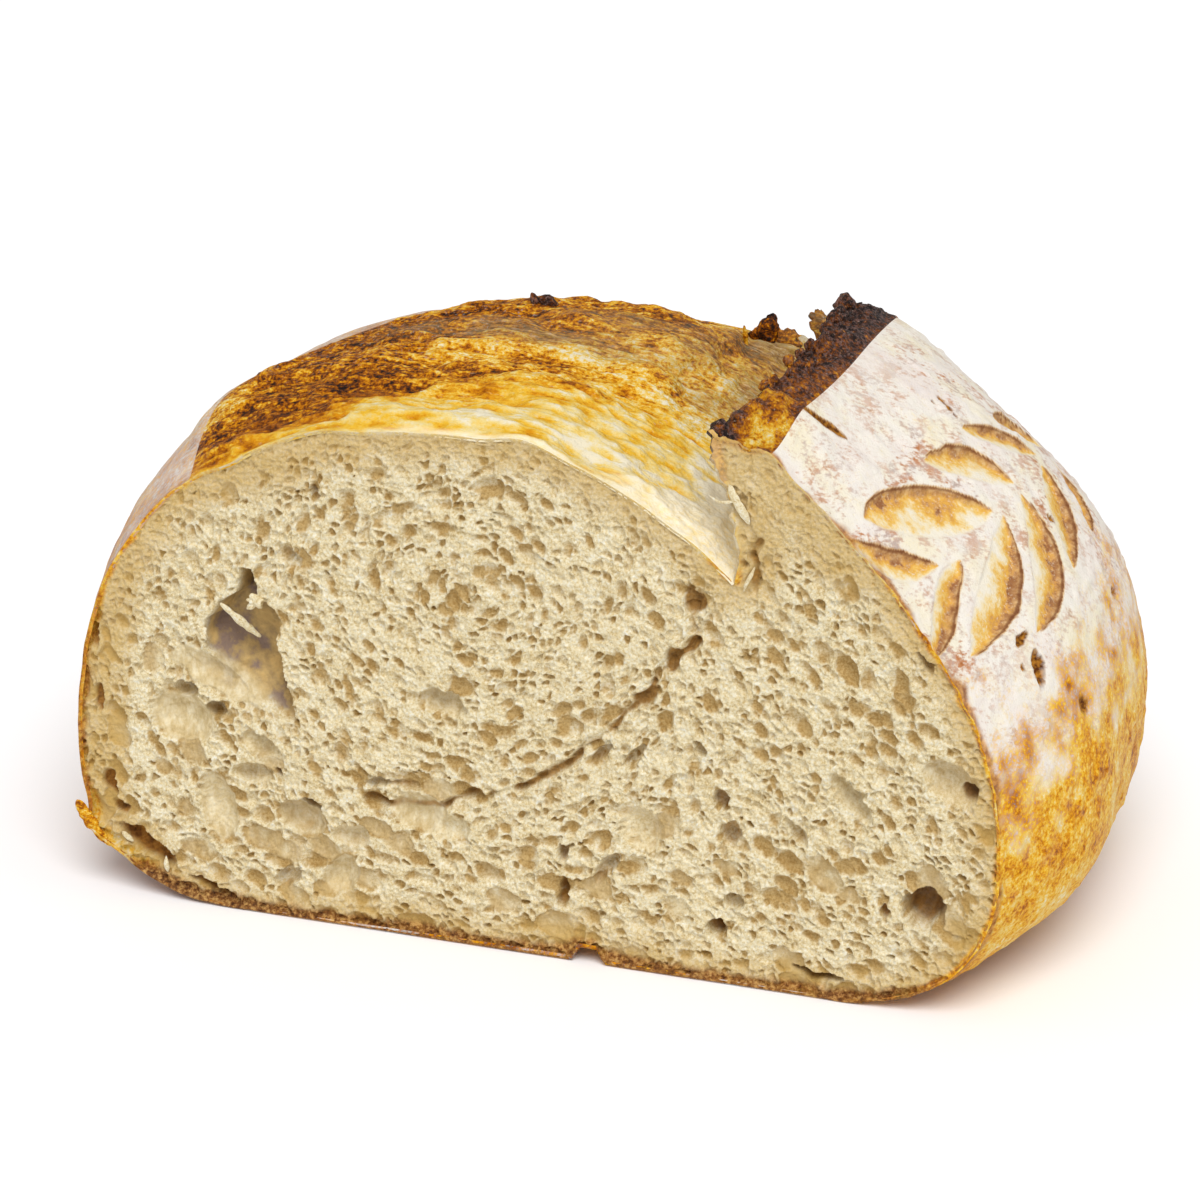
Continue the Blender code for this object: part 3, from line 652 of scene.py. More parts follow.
def makeSkinMaterial():
    # floured skin with the imprint of a cloth and carved leaves: ochre floors turning to painted shade at the
    # rear, brown walls that are partly painted shade with a painted shadow line along the rear edge, toasted
    # rim
    material, tree, shader = newMaterial("flouredSkin")
    crust = useGroup(tree, toastGroup, {"Bake": mask(tree, "bake"), "Mottle": 0.9})["Color"]
    floured = useGroup(tree, flourGroup, {"Crust": crust, "Flour": mask(tree, "flour")})
    below, behind = mask(tree, "below"), mask(tree, "behind")
    threads = addNode(tree, "CombineXYZ")
    for axis, (operation, density) in enumerate((("ADD", 0.45), ("SUBTRACT", 0.85))):
        diagonal = calculate(tree, operation, below, behind)
        feed(tree, calculate(tree, "MULTIPLY", diagonal, density), threads.inputs[axis])
    weave = addNode(tree, "TexNoise")
    weave.inputs["Scale"].default_value = 1.0
    weave.inputs["Detail"].default_value = 3.0
    weave.inputs["Roughness"].default_value = 0.65
    feed(tree, threads.outputs[0], weave.inputs["Vector"])
    patch = swing(tree, grain(tree, 6.0, 5.0, 0.65), 1.5)
    speckle = calculate(tree, "ADD", weave.outputs["Fac"], patch)
    pink = calculate(tree, "MULTIPLY", spread(tree, speckle, 0.45, 0.74, 0.0, 1.0), mask(tree, "speckle"))
    pinkTone = ramp(tree, grain(tree, 4.0, 3.0, 0.6, shift=7.0), (
        (0.38, paint(204, 182, 170)), (0.50, paint(216, 172, 146)), (0.60, paint(204, 136, 86)),
        (0.72, paint(166, 98, 50))))
    skin = blendColour(tree, pink, floured["Color"], pinkTone)
    fleck = swing(tree, grain(tree, 2.0, 5.0, 0.75), 1.2)
    drift = swing(tree, grain(tree, 6.0, 3.0, 0.6, shift=2.0), 1.9)
    tone = calculate(tree, "ADD", mask(tree, "leafTone"), calculate(tree, "ADD", fleck, drift), clamp=True)
    # floor colour from cream at the front edge through ochre to brown towards the rear wall, where the brown
    # is painted shade
    floorTone = ramp(tree, tone, ((0.00, paint(255, 246, 226)), (0.28, paint(255, 233, 182)),
                                  (0.50, paint(250, 204, 108)), (0.70, paint(240, 180, 80)),
                                  (0.88, paint(218, 162, 98)), (1.00, paint(166, 112, 72))))
    crumbs = spread(tree, grain(tree, 0.7, 4.0, 0.7, shift=5.0), 0.52, 0.74, 0.0, 0.8)
    floorTone = blendColour(tree, crumbs, floorTone, paint(255, 244, 220))
    skin = blendColour(tree, mask(tree, "leafFloor"), skin, floorTone)
    # leaf walls: the brown of the cut edge, partly painted shade
    wallTone = ramp(tree, grain(tree, 1.6, 4.0, 0.6), (
        (0.34, paint(146, 98, 60)), (0.50, paint(198, 150, 98)), (0.66, paint(234, 196, 142))))
    skin = blendColour(tree, mask(tree, "leafWallShade"), skin, wallTone)
    # painted shadow: a dark line along the rear edge of each leaf
    rearShadeLine = spread(tree, mask(tree, "leafWallShade"), 0.80, 1.0, 0.0, 0.75)
    skin = blendColour(tree, rearShadeLine, skin, paint(120, 70, 46))
    tornTone = ramp(tree, grain(tree, 1.0), ((0.38, paint(96, 52, 22)), (0.66, paint(200, 136, 50))))
    skin = blendColour(tree, mask(tree, "torn"), skin, tornTone)
    rimTone = ramp(tree, grain(tree, 1.4, 3.0, 0.6), (
        (0.35, paint(150, 88, 36)), (0.65, paint(232, 166, 80))))
    skin = blendColour(tree, mask(tree, "rim"), skin, rimTone)
    feed(tree, skin, shader.inputs["Base Color"])
    feed(tree, spread(tree, floured["Cover"], 0.0, 1.0, 0.42, 0.85), shader.inputs["Roughness"])
    shader.inputs["Specular IOR Level"].default_value = 0.06
    height = useGroup(tree, grainGroup, {"Coarse": 0.7, "Fine": 0.5})["Height"]
    bump(tree, shader, height, 0.8, 0.5)
    return material


def makeBloomMaterial():
    # torn, stretched dough: golden near the cut, browned and greyed behind; near-white flecks are painted
    # highlights, and the pale parts carry a painted glow
    material, tree, shader = newMaterial("goldenBloom")
    fibre = grain(tree, 0.9, 4.0, 0.7, (3.2, 1.2, 1.0))
    away = calculate(tree, "ADD", 0.4, spread(tree, mask(tree, "rough"), 0.0, 1.0))
    bake = calculate(tree, "ADD", mask(tree, "bake"), swing(tree, fibre, away))
    mottle = spread(tree, mask(tree, "rough"), 0.0, 1.0, 0.25, 1.0)
    crust = useGroup(tree, toastGroup, {"Bake": bake, "Mottle": mottle})["Color"]
    straw = useGroup(tree, strawGroup, {"Shade": 0.5})["Color"]
    crust = blendColour(tree, mask(tree, "straw"), crust, straw)
    paleTone = ramp(tree, fibre, ((0.34, paint(255, 232, 166)), (0.56, paint(255, 248, 226))))
    crust = blendColour(tree, mask(tree, "pale"), crust, paleTone)
    dust = spread(tree, grain(tree, 0.8, 2.0, 0.6), 0.60, 0.72, 0.0, 0.5)
    dust = calculate(tree, "MULTIPLY", dust, mask(tree, "dust"))
    crust = blendColour(tree, dust, crust, paint(196, 180, 172))
    # painted highlights: near-white flecks over the paler, less baked crust
    fleck = spread(tree, grain(tree, 0.7, 3.0, 0.65, (3.0, 1.2, 1.0), shift=9.0), 0.60, 0.72, 0.0, 0.45)
    fleck = calculate(tree, "MULTIPLY", fleck, spread(tree, mask(tree, "bake"), 0.75, 0.25))
    crust = blendColour(tree, fleck, crust, paint(255, 240, 200))
    feed(tree, crust, shader.inputs["Base Color"])
    # painted light: the pale parts glow a little, lifting the shade that the ear casts into the valley
    paintedGlow = blendColour(tree, mask(tree, "pale"), paint(0, 0, 0), paint(255, 226, 168))
    feed(tree, paintedGlow, shader.inputs["Emission Color"])
    shader.inputs["Emission Strength"].default_value = 0.24
    shader.inputs["Roughness"].default_value = 0.5
    shader.inputs["Specular IOR Level"].default_value = 0.08
    height = useGroup(tree, grainGroup, {"Coarse": 0.6, "Fine": 0.4})["Height"]
    height = calculate(tree, "ADD", height, fibre)
    bump(tree, shader, height, 0.9, 0.6)
    return material


def makeEarMaterial():
    # scorched, torn edge of the opening, with painted highlight specks and a wall lightened partly as painted
    # light
    material, tree, shader = newMaterial("burntEar")
    crust = useGroup(tree, toastGroup, {"Bake": mask(tree, "bake"), "Mottle": 1.0})["Color"]
    straw = useGroup(tree, strawGroup, {"Shade": 0.6})["Color"]
    crust = blendColour(tree, mask(tree, "straw"), crust, straw)
    # the pale wall: the dough's own cream, made lighter in part as painted light
    paleTone = ramp(tree, grain(tree, 1.2, 3.0, 0.6), (
        (0.36, paint(226, 194, 136)), (0.60, paint(250, 232, 192))))
    crust = blendColour(tree, mask(tree, "pale"), crust, paleTone)
    plum = spread(tree, grain(tree, 0.8, 4.0, 0.7), 0.48, 0.64, 0.0, 0.85)
    plum = calculate(tree, "MULTIPLY", plum, spread(tree, mask(tree, "bake"), 0.5, 0.8))
    crust = blendColour(tree, plum, crust, paint(138, 104, 96))
    ember = spread(tree, grain(tree, 0.9, 3.0, 0.65, shift=4.0), 0.63, 0.71, 0.0, 0.75)
    ember = calculate(tree, "MULTIPLY", ember, spread(tree, mask(tree, "pale"), 0.6, 0.0))
    crust = blendColour(tree, ember, crust, paint(214, 142, 70))
    # painted highlights: light mauve-grey specks scattered over the band
    highlightSpecks = spread(tree, grain(tree, 0.6, 3.0, 0.7, shift=11.0), 0.60, 0.70, 0.0, 0.6)
    crust = blendColour(tree, highlightSpecks, crust, paint(206, 184, 168))
    feed(tree, crust, shader.inputs["Base Color"])
    shader.inputs["Roughness"].default_value = 0.55
    shader.inputs["Specular IOR Level"].default_value = 0.2
    height = useGroup(tree, grainGroup, {"Coarse": 1.4, "Fine": 0.9})["Height"]
    bump(tree, shader, height, 1.0, 0.8)
    return material


def makeCrumbMaterial():
    # open crumb: pale granular walls, toasted towards the crust, with painted shade: tan in the pores, brown
    # in holes and folds, grey-brown in the tunnel and a tan band under the rim
    material, tree, shader = newMaterial("openCrumb")
    granule = grain(tree, 0.55, 4.0, 0.75)
    granule = calculate(tree, "ADD", granule, swing(tree, grain(tree, 3.5, 3.0, 0.6), 0.4))
    wall = ramp(tree, granule, ((0.32, paint(208, 180, 124)), (0.44, paint(236, 216, 168)),
                                (0.58, paint(253, 241, 206)), (0.70, paint(255, 253, 240))))
    # painted shade: tan colour for the pits
    poreShade = ramp(tree, granule, ((0.36, paint(170, 132, 68)), (0.64, paint(212, 178, 114))))
    crumb = blendColour(tree, spread(tree, mask(tree, "poreShade"), 0.06, 0.8, 0.0, 0.95), wall, poreShade)
    film = ramp(tree, grain(tree, 1.6, 4.0, 0.6, (1.0, 1.0, 2.6), turn=(0, 0.9, 0)), (
        (0.34, paint(206, 180, 126)), (0.50, paint(230, 208, 160)), (0.66, paint(250, 236, 200))))
    smooth = calculate(tree, "MULTIPLY", mask(tree, "membrane"), 0.85)
    crumb = blendColour(tree, smooth, crumb, film)
    # tan band under the rim, partly painted shade
    near = calculate(tree, "MULTIPLY", mask(tree, "nearCrustShade"), 0.66)
    crumb = blendColour(tree, near, crumb, paint(214, 176, 98))
    # painted shade: grey-brown inside the tunnel
    hollow = ramp(tree, grain(tree, 5.0, 4.0, 0.6), (
        (0.38, paint(150, 126, 110)), (0.48, paint(188, 158, 106)), (0.62, paint(222, 186, 120))))
    crumb = blendColour(tree, mask(tree, "grey"), crumb, hollow)
    # brown: the crust's own colour in cavities by the rim, painted shade in deeper holes and folds
    brownTone = ramp(tree, grain(tree, 2.0, 3.0, 0.6), (
        (0.36, paint(116, 68, 14)), (0.62, paint(180, 124, 48))))
    crumb = blendColour(tree, mask(tree, "brownAndShade"), crumb, brownTone)
    crust = useGroup(tree, toastGroup, {"Bake": mask(tree, "bake"), "Mottle": 0.9})["Color"]
    rind = ramp(tree, grain(tree, 1.1, 4.0, 0.7), (
        (0.36, paint(72, 38, 14)), (0.49, paint(140, 90, 40)), (0.63, paint(210, 164, 96))))
    crust = blendColour(tree, mask(tree, "rind"), crust, rind)
    crumb = blendColour(tree, mask(tree, "crust"), crumb, crust)
    feed(tree, crumb, shader.inputs["Base Color"])
    shader.inputs["Roughness"].default_value = 0.6
    shader.inputs["Specular IOR Level"].default_value = 0.2
    height = useGroup(tree, grainGroup, {"Coarse": 0.3, "Fine": 0.8})["Height"]
    bump(tree, shader, height, 0.7, 0.45)
    return material


skinMaterial = makeSkinMaterial()
bloomMaterial = makeBloomMaterial()
earMaterial = makeEarMaterial()
crumbMaterial = makeCrumbMaterial()
print("materials made")

# skin: both flanks and the closed rear

skin = {
    "fineSpacing": 0.38, "fineReach": 70.0, "coarseSpacing": 0.9,
    "lowColumns": 56, "leftColumns": 118, "leftLowColumns": 40,
    "stem": 41.0, "stemHalf": 0.9, "cut": 1.9, "cutNoise": 0.45,
    "leavesDown": 80, "leavesBack": 100,  # the leaves are worked out only this far from the lip and the cut
    # leaves above and below the stem: depth of the base, length, turn, rear and front bulge
    "upper": ((13.8, 22.8, 53, 0.9, 5.5), (35.2, 33.6, 33, 6.3, 6.0), (46.8, 22.9, 47, 6.5, 2.0),
              (65.0, 22.9, 42, 2.8, 3.4), (77.0, 19.0, 37, 5.0, 3.0)),
    "lower": ((19.0, 21.5, 22, 3.2, 3.7), (37.0, 33.4, 25, 8.2, 2.0), (46.4, 30.3, 44, 9.5, 0.4),
              (62.7, 24.9, 49, 4.9, 3.5), (73.0, 20.4, 59, 5.0, 0.5)),
    # the slit by the lip: where it starts below the lip, then as a leaf
    "slit": (-0.8, 14.2, 12.0, 116, 0.9, 1.0),
    # torn spots: below the lip, depth, half sizes, turn and depth of the tear
    "spots": ((62.0, 20.3, 1.0, 1.9, 10, 1.0), (68.6, 20.8, 3.6, 1.5, -15, 1.8),
              (66.5, 17.0, 0.8, 0.6, 0, 0.6), (19.0, 51.0, 2.2, 0.7, -10, 0.5),
              (22.5, 50.0, 0.7, 0.5, 0, 0.5), (17.0, 48.0, 0.5, 0.4, 0, 0.4),
              (50.5, 50.0, 1.0, 0.8, 0, 0.8), (72.0, 60.0, 1.6, 0.9, 40, 1.0),
              (82.2, 30.3, 1.9, 1.5, 0, 0.8)),
}


def leafFields(below, depth):
    # for each leaf: share along its length and across it, from which follow the cut and its masks;
    # the slit comes last in the list, so the slit's mask is what the last round leaves
    leaves = [(skin["stem"] - skin["stemHalf"], base, length, -turn, rear, front)
              for base, length, turn, rear, front in skin["upper"]]
    leaves += [(skin["stem"] + skin["stemHalf"], base, length, turn, rear, front)
               for base, length, turn, rear, front in skin["lower"]]
    leaves += [skin["slit"]]
    cut, floor, wall, tone = (np.zeros(below.shape) for field in range(4))
    for start, base, length, turn, rear, front in leaves:
        along = np.array((math.sin(math.radians(turn)), -math.cos(math.radians(turn))))
        aside = np.array((along[1], -along[0]))
        aside = aside * np.sign(aside[1])
        way = ((below - start) * along[0] + (depth - base) * along[1]) / length
        off = (below - start) * aside[0] + (depth - base) * aside[1]
        off = off + skin["cutNoise"] * layeredNoise(below, depth, 0 * depth, 3.4, 31, 2)
        swell = np.sin(np.pi * np.clip(way, 0, 1)) ** 0.7
        rearEdge = rear * swell
        frontEdge = -front * swell
        wide = np.maximum(rearEdge - frontEdge, 0.05)
        across = (off - frontEdge) / wide
        inside = (way > 0) & (way < 1)
        deep = skin["cut"] * np.sin(np.pi * np.clip(way, 0, 1)) ** 0.5
        steep = 1 - smoothStep(rearEdge - 2.0, rearEdge + 0.3, off)
        slope = 0.15 * smoothStep(0, 0.5, off - frontEdge) + 0.85 * np.clip(across, 0, 1) ** 1.2
        cut = np.maximum(cut, inside * deep * steep * slope)
        ends = smoothStep(0, 0.05, way) * smoothStep(0, 0.05, 1 - way)
        within = smoothStep(-0.1, 0.4 + 0.07 * wide, off - frontEdge)
        within = within * (1 - smoothStep(-0.1, 0.2, off - rearEdge))
        floor = np.maximum(floor, inside * within * smoothStep(0, 0.5, wide))
        tone = np.where(inside * within > 0.05, across, tone)
        # the wall mask: the cut's brown edge, partly painted shade in a band along the rear edge, where the
        # steep wall's shadow falls
        band = np.minimum(2.0, 0.28 * wide) * (1 + 0.5 * flatNoise(below, depth, 4.0, 32))
        rearWall = 0.78 * smoothStep(-band, -0.25 * band, off - rearEdge)
        rearWall = rearWall + 0.22 * smoothStep(-0.9, -0.2, off - rearEdge)
        rearWall = rearWall * (1 - smoothStep(0.0, 0.35, off - rearEdge))
        frontLine = 0.3 * hill(0, 0.35, off - frontEdge)
        frontLine = frontLine * smoothStep(0.2, 0.6, flatNoise(below, depth, 5.0, 33))
        wall = np.maximum(wall, inside * np.maximum(rearWall, frontLine) * ends)
        slit = inside * smoothStep(-0.3, 0.1, off - frontEdge) * smoothStep(-0.3, 0.1, rearEdge - off)
    return cut, floor, wall, tone, slit


def skinTones(x, depth, z):
    # slow and quick mottling of the skin and the bake that follows from both
    cloud = layeredNoise(x, depth, z, 16.0, 17, 3)
    mottle = layeredNoise(x, depth, z, 5.5, 24, 3)
    bake = 0.37 + 0.12 * cloud + 0.16 * mottle + 0.16 * layeredNoise(x, depth, z, 2.2, 21, 2)
    bake = bake + 0.14 * (1 - smoothStep(4, 16, z))
    return cloud, mottle, bake


def makeSkin():
    # columns run from the base's right edge up to the lip and, across the opening, on from the ridge
    # over the left side to the base's left edge; rows run from the cut to the rear end
    fine = np.arange(0, skin["fineReach"], skin["fineSpacing"])
    coarse = np.arange(skin["fineReach"], 200, skin["coarseSpacing"])
    stretches = (("rightLow", np.linspace(0, 1, skin["lowColumns"] + 1)[:-1]),
                 ("right", sharesBySpacing("right", np.concatenate((fine, coarse)))),
                 ("left", np.linspace(0, 1, skin["leftColumns"] + 1)[:-1]),
                 ("leftLow", np.linspace(0, 1, skin["leftLowColumns"] + 1)))
    parts = [surfacePoints(stretch, shares[None, :], depthRows[:, None]) for stretch, shares in stretches]
    lipColumn = parts[0].shape[1] + parts[1].shape[1] - 1
    rightSide = np.concatenate(parts[:2], axis=1)
    leftSide = np.concatenate(parts[2:], axis=1)
    below = arcAlong(rightSide[:, ::-1])[:, ::-1]
    beyond = arcAlong(leftSide)
    toBase = np.concatenate((arcAlong(rightSide), arcAlong(leftSide[:, ::-1])[:, ::-1]), axis=1)
    depth = np.broadcast_to(depthRows[:, None], toBase.shape)
    points = np.concatenate((rightSide, leftSide), axis=1)
    normals = np.concatenate((gridNormals(rightSide), gridNormals(leftSide)), axis=1)
    normals[..., 1] *= smoothStep(0, 2, depth)
    fromOpening = np.concatenate((below, beyond), axis=1)
    onRight = np.arange(points.shape[1]) <= lipColumn
    x, z = points[..., 0], points[..., 2]

    cut, floor, wall, tone, torn = (np.zeros(depth.shape) for field in range(5))
    reach = int(np.searchsorted(depthRows, skin["leavesBack"]))
    first = int(np.argmax(below[0] < skin["leavesDown"]))
    block = (slice(0, reach), slice(first, lipColumn + 1))
    fields = leafFields(fromOpening[block], depth[block])
    cut[block], floor[block], wall[block], tone[block], torn[block] = fields
    for middle, back, halfLong, halfWide, turn, deep in skin["spots"]:
        offBelow = fromOpening - middle + 0.5 * noise(x, depth, z, 1.6, 34)
        offBack = depth - back + 0.5 * noise(x, depth, z, 1.6, 35)
        way, off = ovalPlace(offBelow, offBack, halfLong, halfWide, turn)
        bowl = np.clip(1 - way ** 2 - off ** 2, 0, 1) * onRight
        cut = np.maximum(cut, deep * bowl ** 0.5)
        torn = np.maximum(torn, smoothStep(-0.3, 0.1, 1 - way ** 2 - off ** 2) * onRight)

    shown = onRight[None, :] * (1 - smoothStep(85, 110, depth))
    ease = smoothStep(0, 2.5, fromOpening) * smoothStep(0, 6, toBase)
    fineHeight = 0.30 * layeredNoise(x, depth, z, 5.0, 12, 2)
    fineHeight = fineHeight + shown * 0.13 * noise(x, depth, z, 1.7, 15)
    blister = smoothStep(0.30, 0.75, noise(x, depth, z, 2.6, 16)) * 0.28 * shown
    fineHeight = (fineHeight + blister) * ease * (1 - 0.7 * floor)
    fineHeight = fineHeight * closing(depth, form["bulgeDepth"], form["planPower"])
    points = points + normals * (fineHeight - cut)[..., None]

    # flour lies on the upper parts, the flanks below are golden and mottled; the left side, turned away from
    # the key light, gets less flour and more bake, partly as painted shade
    cloud, mottle, bake = skinTones(x, depth, z)
    flourRight = 1 - 1.2 * smoothStep(56, 112, fromOpening + 13 * cloud + 24 * mottle + 0.04 * depth)
    flourLeft = 0.58 * smoothStep(50, 84, z + 10 * cloud + 6 * mottle)
    behind = smoothStep(100, 130, depth)
    top = smoothStep(45, 80, z + 12 * cloud + 10 * mottle)
    flour = np.where(onRight[None, :], flourRight, flourLeft)
    flour = flour + behind * (0.9 * top - flour)
    bake = bake + np.where(onRight[None, :], 0.07 * hill(78, 14, fromOpening) - 0.02, 0.20) * (1 - behind)
    bake = bake + 0.10 * behind
    ragged = 1.1 * noise(x, depth, z, 2.6, 23) + 1.2 * noise(x, depth, z, 9.0, 25)
    rim = 1 - smoothStep(0.2, 1.6, depth + ragged)
    rim = rim * np.where(onRight[None, :], 0.9, 0.5)
    speckle = np.clip(0.70 + 0.9 * cloud, 0, 1) * (0.2 + 0.8 * np.clip(flour, 0, 1))
    speckle = speckle * (1 - floor) * (1 - behind)
    masks = {"flour": flour, "bake": bake, "rim": rim, "speckle": speckle, "leafFloor": floor,
             "leafWallShade": wall, "leafTone": tone, "torn": torn, "below": fromOpening, "behind": depth}

    # behind the opening, lip and ridge are one
    flat, ids, masks = tuckedGrid(points, masks)
    flat, masks = withRearEnd(flat, ids, masks)
    pole = ids.size
    ids[openingRow + 1:, lipColumn + 1] = ids[openingRow + 1:, lipColumn]
    for name, side in (("skinRight", slice(0, lipColumn + 1)), ("skinLeft", slice(lipColumn + 1, None))):
        faces = [gridFaces(ids[:, side]), fanFaces(ids[-1, side], pole)]
        addPiece(name, flat, faces, skinMaterial, masks)
    return points[0, :lipColumn + 1], points[0, lipColumn + 1:]


rightRim, leftRim = makeSkin()

# base: the flat underside


def makeBase():
    # columns from the left edge to the right edge of the underside
    shares = np.linspace(0, 1, 141)
    points = surfacePoints("base", shares[None, :], depthRows[::2, None])
    first = surfacePoints("base", shares, 0.0)
    x, depth, z = points[..., 0], points[..., 1], points[..., 2]
    cloud, _, bake = skinTones(x, depth, z)
    under = 1 - smoothStep(0.5, 5, z)
    masks = {"bake": bake + 0.10, "flour": (0.45 + 0.4 * cloud) * under}
    flat, ids, masks = tuckedGrid(points, masks)
    flat, masks = withRearEnd(flat, ids, masks)
    faces = [gridFaces(ids), fanFaces(ids[-1], ids.size)]
    addPiece("base", flat, faces, skinMaterial, masks)
    return first


baseRim = makeBase()

# bloom: the dough that rose through the scoring

bloom = {
    "columns": 255, "mostBaked": 0.68,
    # darker and lighter patches: x, depth, half sizes and how much they add to the bake
    "patches": ((-66, 11, 17, 12, 0.46), (-51, 17, 17, 12, 0.46), (-37, 27, 20, 12, 0.46),
                (-12, 38, 20, 8, 0.24), (-60, 44, 24, 26, 0.60), (-30, 64, 34, 22, 0.52),
                (8, 80, 28, 22, 0.44), (21, 82, 6, 7, 0.30), (-1, 30, 3.2, 3.0, 0.36),
                (20, 47, 8, 5, 0.24), (26, 53, 5, 3, 0.20), (-80, 8, 9, 8, 0.20),
                (12, 8, 30, 12, -0.16), (34, 7, 14, 10, -0.34), (44, 6, 10, 10, -0.30),
                (36, 22, 12, 14, -0.26)),
    # the same for dough that the oven only dried, and for dust
    "straw": ((30, 62, 18, 22, 1.0), (-8, 54, 30, 8, 0.6), (24, 92, 12, 16, 0.9), (-36, 58, 20, 8, 0.5),
              (4, 70, 24, 10, 0.6)),
    "dust": ((-50, 60, 60, 40, 1.0), (0, 110, 60, 30, 1.0)),
}


def patchSum(x, depth, patches):
    # hills added together, each with its own half sizes
    total = np.zeros(x.shape)
    for middle, back, halfX, halfDepth, amount in patches:
        away = np.sqrt(((x - middle) / halfX) ** 2 + ((depth - back) / halfDepth) ** 2)
        total = total + amount * hill(0, 1.4, away)
    return total


def makeBloom():
    # columns from the valley below the ear over the dome to the ridge
    shares = np.linspace(0, 1, bloom["columns"])
    depths = depthRows[:openingRow + 1]
    points = surfacePoints("bloom", shares[None, :], depths[:, None])
    normals = gridNormals(points)
    depth = points[..., 1]
    normals[..., 1] *= smoothStep(0, 2, depth)
    x, z = points[..., 0], points[..., 2]
    edge = np.minimum(smoothStep(0, 0.03, shares), smoothStep(0, 0.03, 1 - shares))[None, :]
    edge = edge * (1 - smoothStep(100, 112, depth))
    fibre = layeredNoise(x, depth, z, (11.0, 1.8, 3.0), 51, 3)
    crackle = layeredNoise(x, depth, z, 3.0, 55, 3)
    torn = smoothStep(0.05, 0.5, noise(x, depth, z, (14.0, 7.0, 14.0), 57))
    flaky = layeredNoise(x, depth, z, (4.0, 1.3, 2.0), 66, 2)
    ridged = 1 - 2 * np.abs(noise(x, depth, z, (8.0, 2.2, 3.0), 69))
    height = 0.42 * fibre + 0.46 * crackle + 0.7 * torn * np.abs(crackle) + 0.48 * flaky + 0.30 * ridged
    height = height * edge * smoothStep(0, 3, depth)
    points = points + normals * height[..., None]
    bake = 0.30 + 0.9 * patchSum(x, depth, bloom["patches"])
    bake = bake + 0.10 * layeredNoise(x, depth, z, (9.0, 5.0, 8.0), 61, 3)
    bake = bake - 0.06 * fibre + 0.06 * torn - 0.24 * flaky - 0.14 * ridged
    bake = bake - 0.12 * (1 - smoothStep(0.2, 1.4, depth)) * smoothStep(-50, -30, x)
    bake = np.minimum(bake, bloom["mostBaked"] + 0.10 * layeredNoise(x, depth, z, 1.6, 62, 2))
    straw = np.clip(patchSum(x, depth, bloom["straw"]) * (0.75 + 0.6 * noise(x, depth, z, 7.0, 64)), 0, 1)
    straw = np.maximum(straw, 0.8 * (1 - smoothStep(0.03, 0.16, shares))[None, :] * smoothStep(24, 50, depth))
    dust = smoothStep(0.2, 0.8, patchSum(x, depth, bloom["dust"]))
    sway = 3.0 * noise(x, depth, z, 6.0, 67)
    pale = smoothStep(6, 30, x + sway - 1.3 * depth) * (1 - smoothStep(8, 24, depth + sway))
    # painted light: the valley below the ear is made pale, cancelling the shade that the ear casts there; the
    # pale mask also drives the glow
    paintedValleyLight = (1 - smoothStep(0.05, 0.18, shares))[None, :] * (1 - smoothStep(16, 34, depth + sway))
    atCut = 0.8 * (1 - smoothStep(0.5, 2.0, depth + 0.4 * sway)) * smoothStep(-40, -10, x)
    pale = np.maximum(np.maximum(pale, paintedValleyLight), atCut)
    rough = np.clip(smoothStep(14, 46, depth - 0.35 * x + 2 * sway), 0, 1)
    masks = {"bake": bake, "straw": straw, "dust": dust, "pale": pale, "rough": rough}
    flat, ids, masks = tuckedGrid(points, masks)
    faces = [gridFaces(ids[:-1]), fanFaces(ids[-2], ids[-1, 0])]
    addPiece("bloom", flat, faces, bloomMaterial, masks)
    return points[0]


bloomRim = makeBloom()

# ear: the torn band and the wall below it

ear = {"bandColumns": 26, "wallColumns": 46, "cragHeight": 1.3, "crestDrop": 1.1}


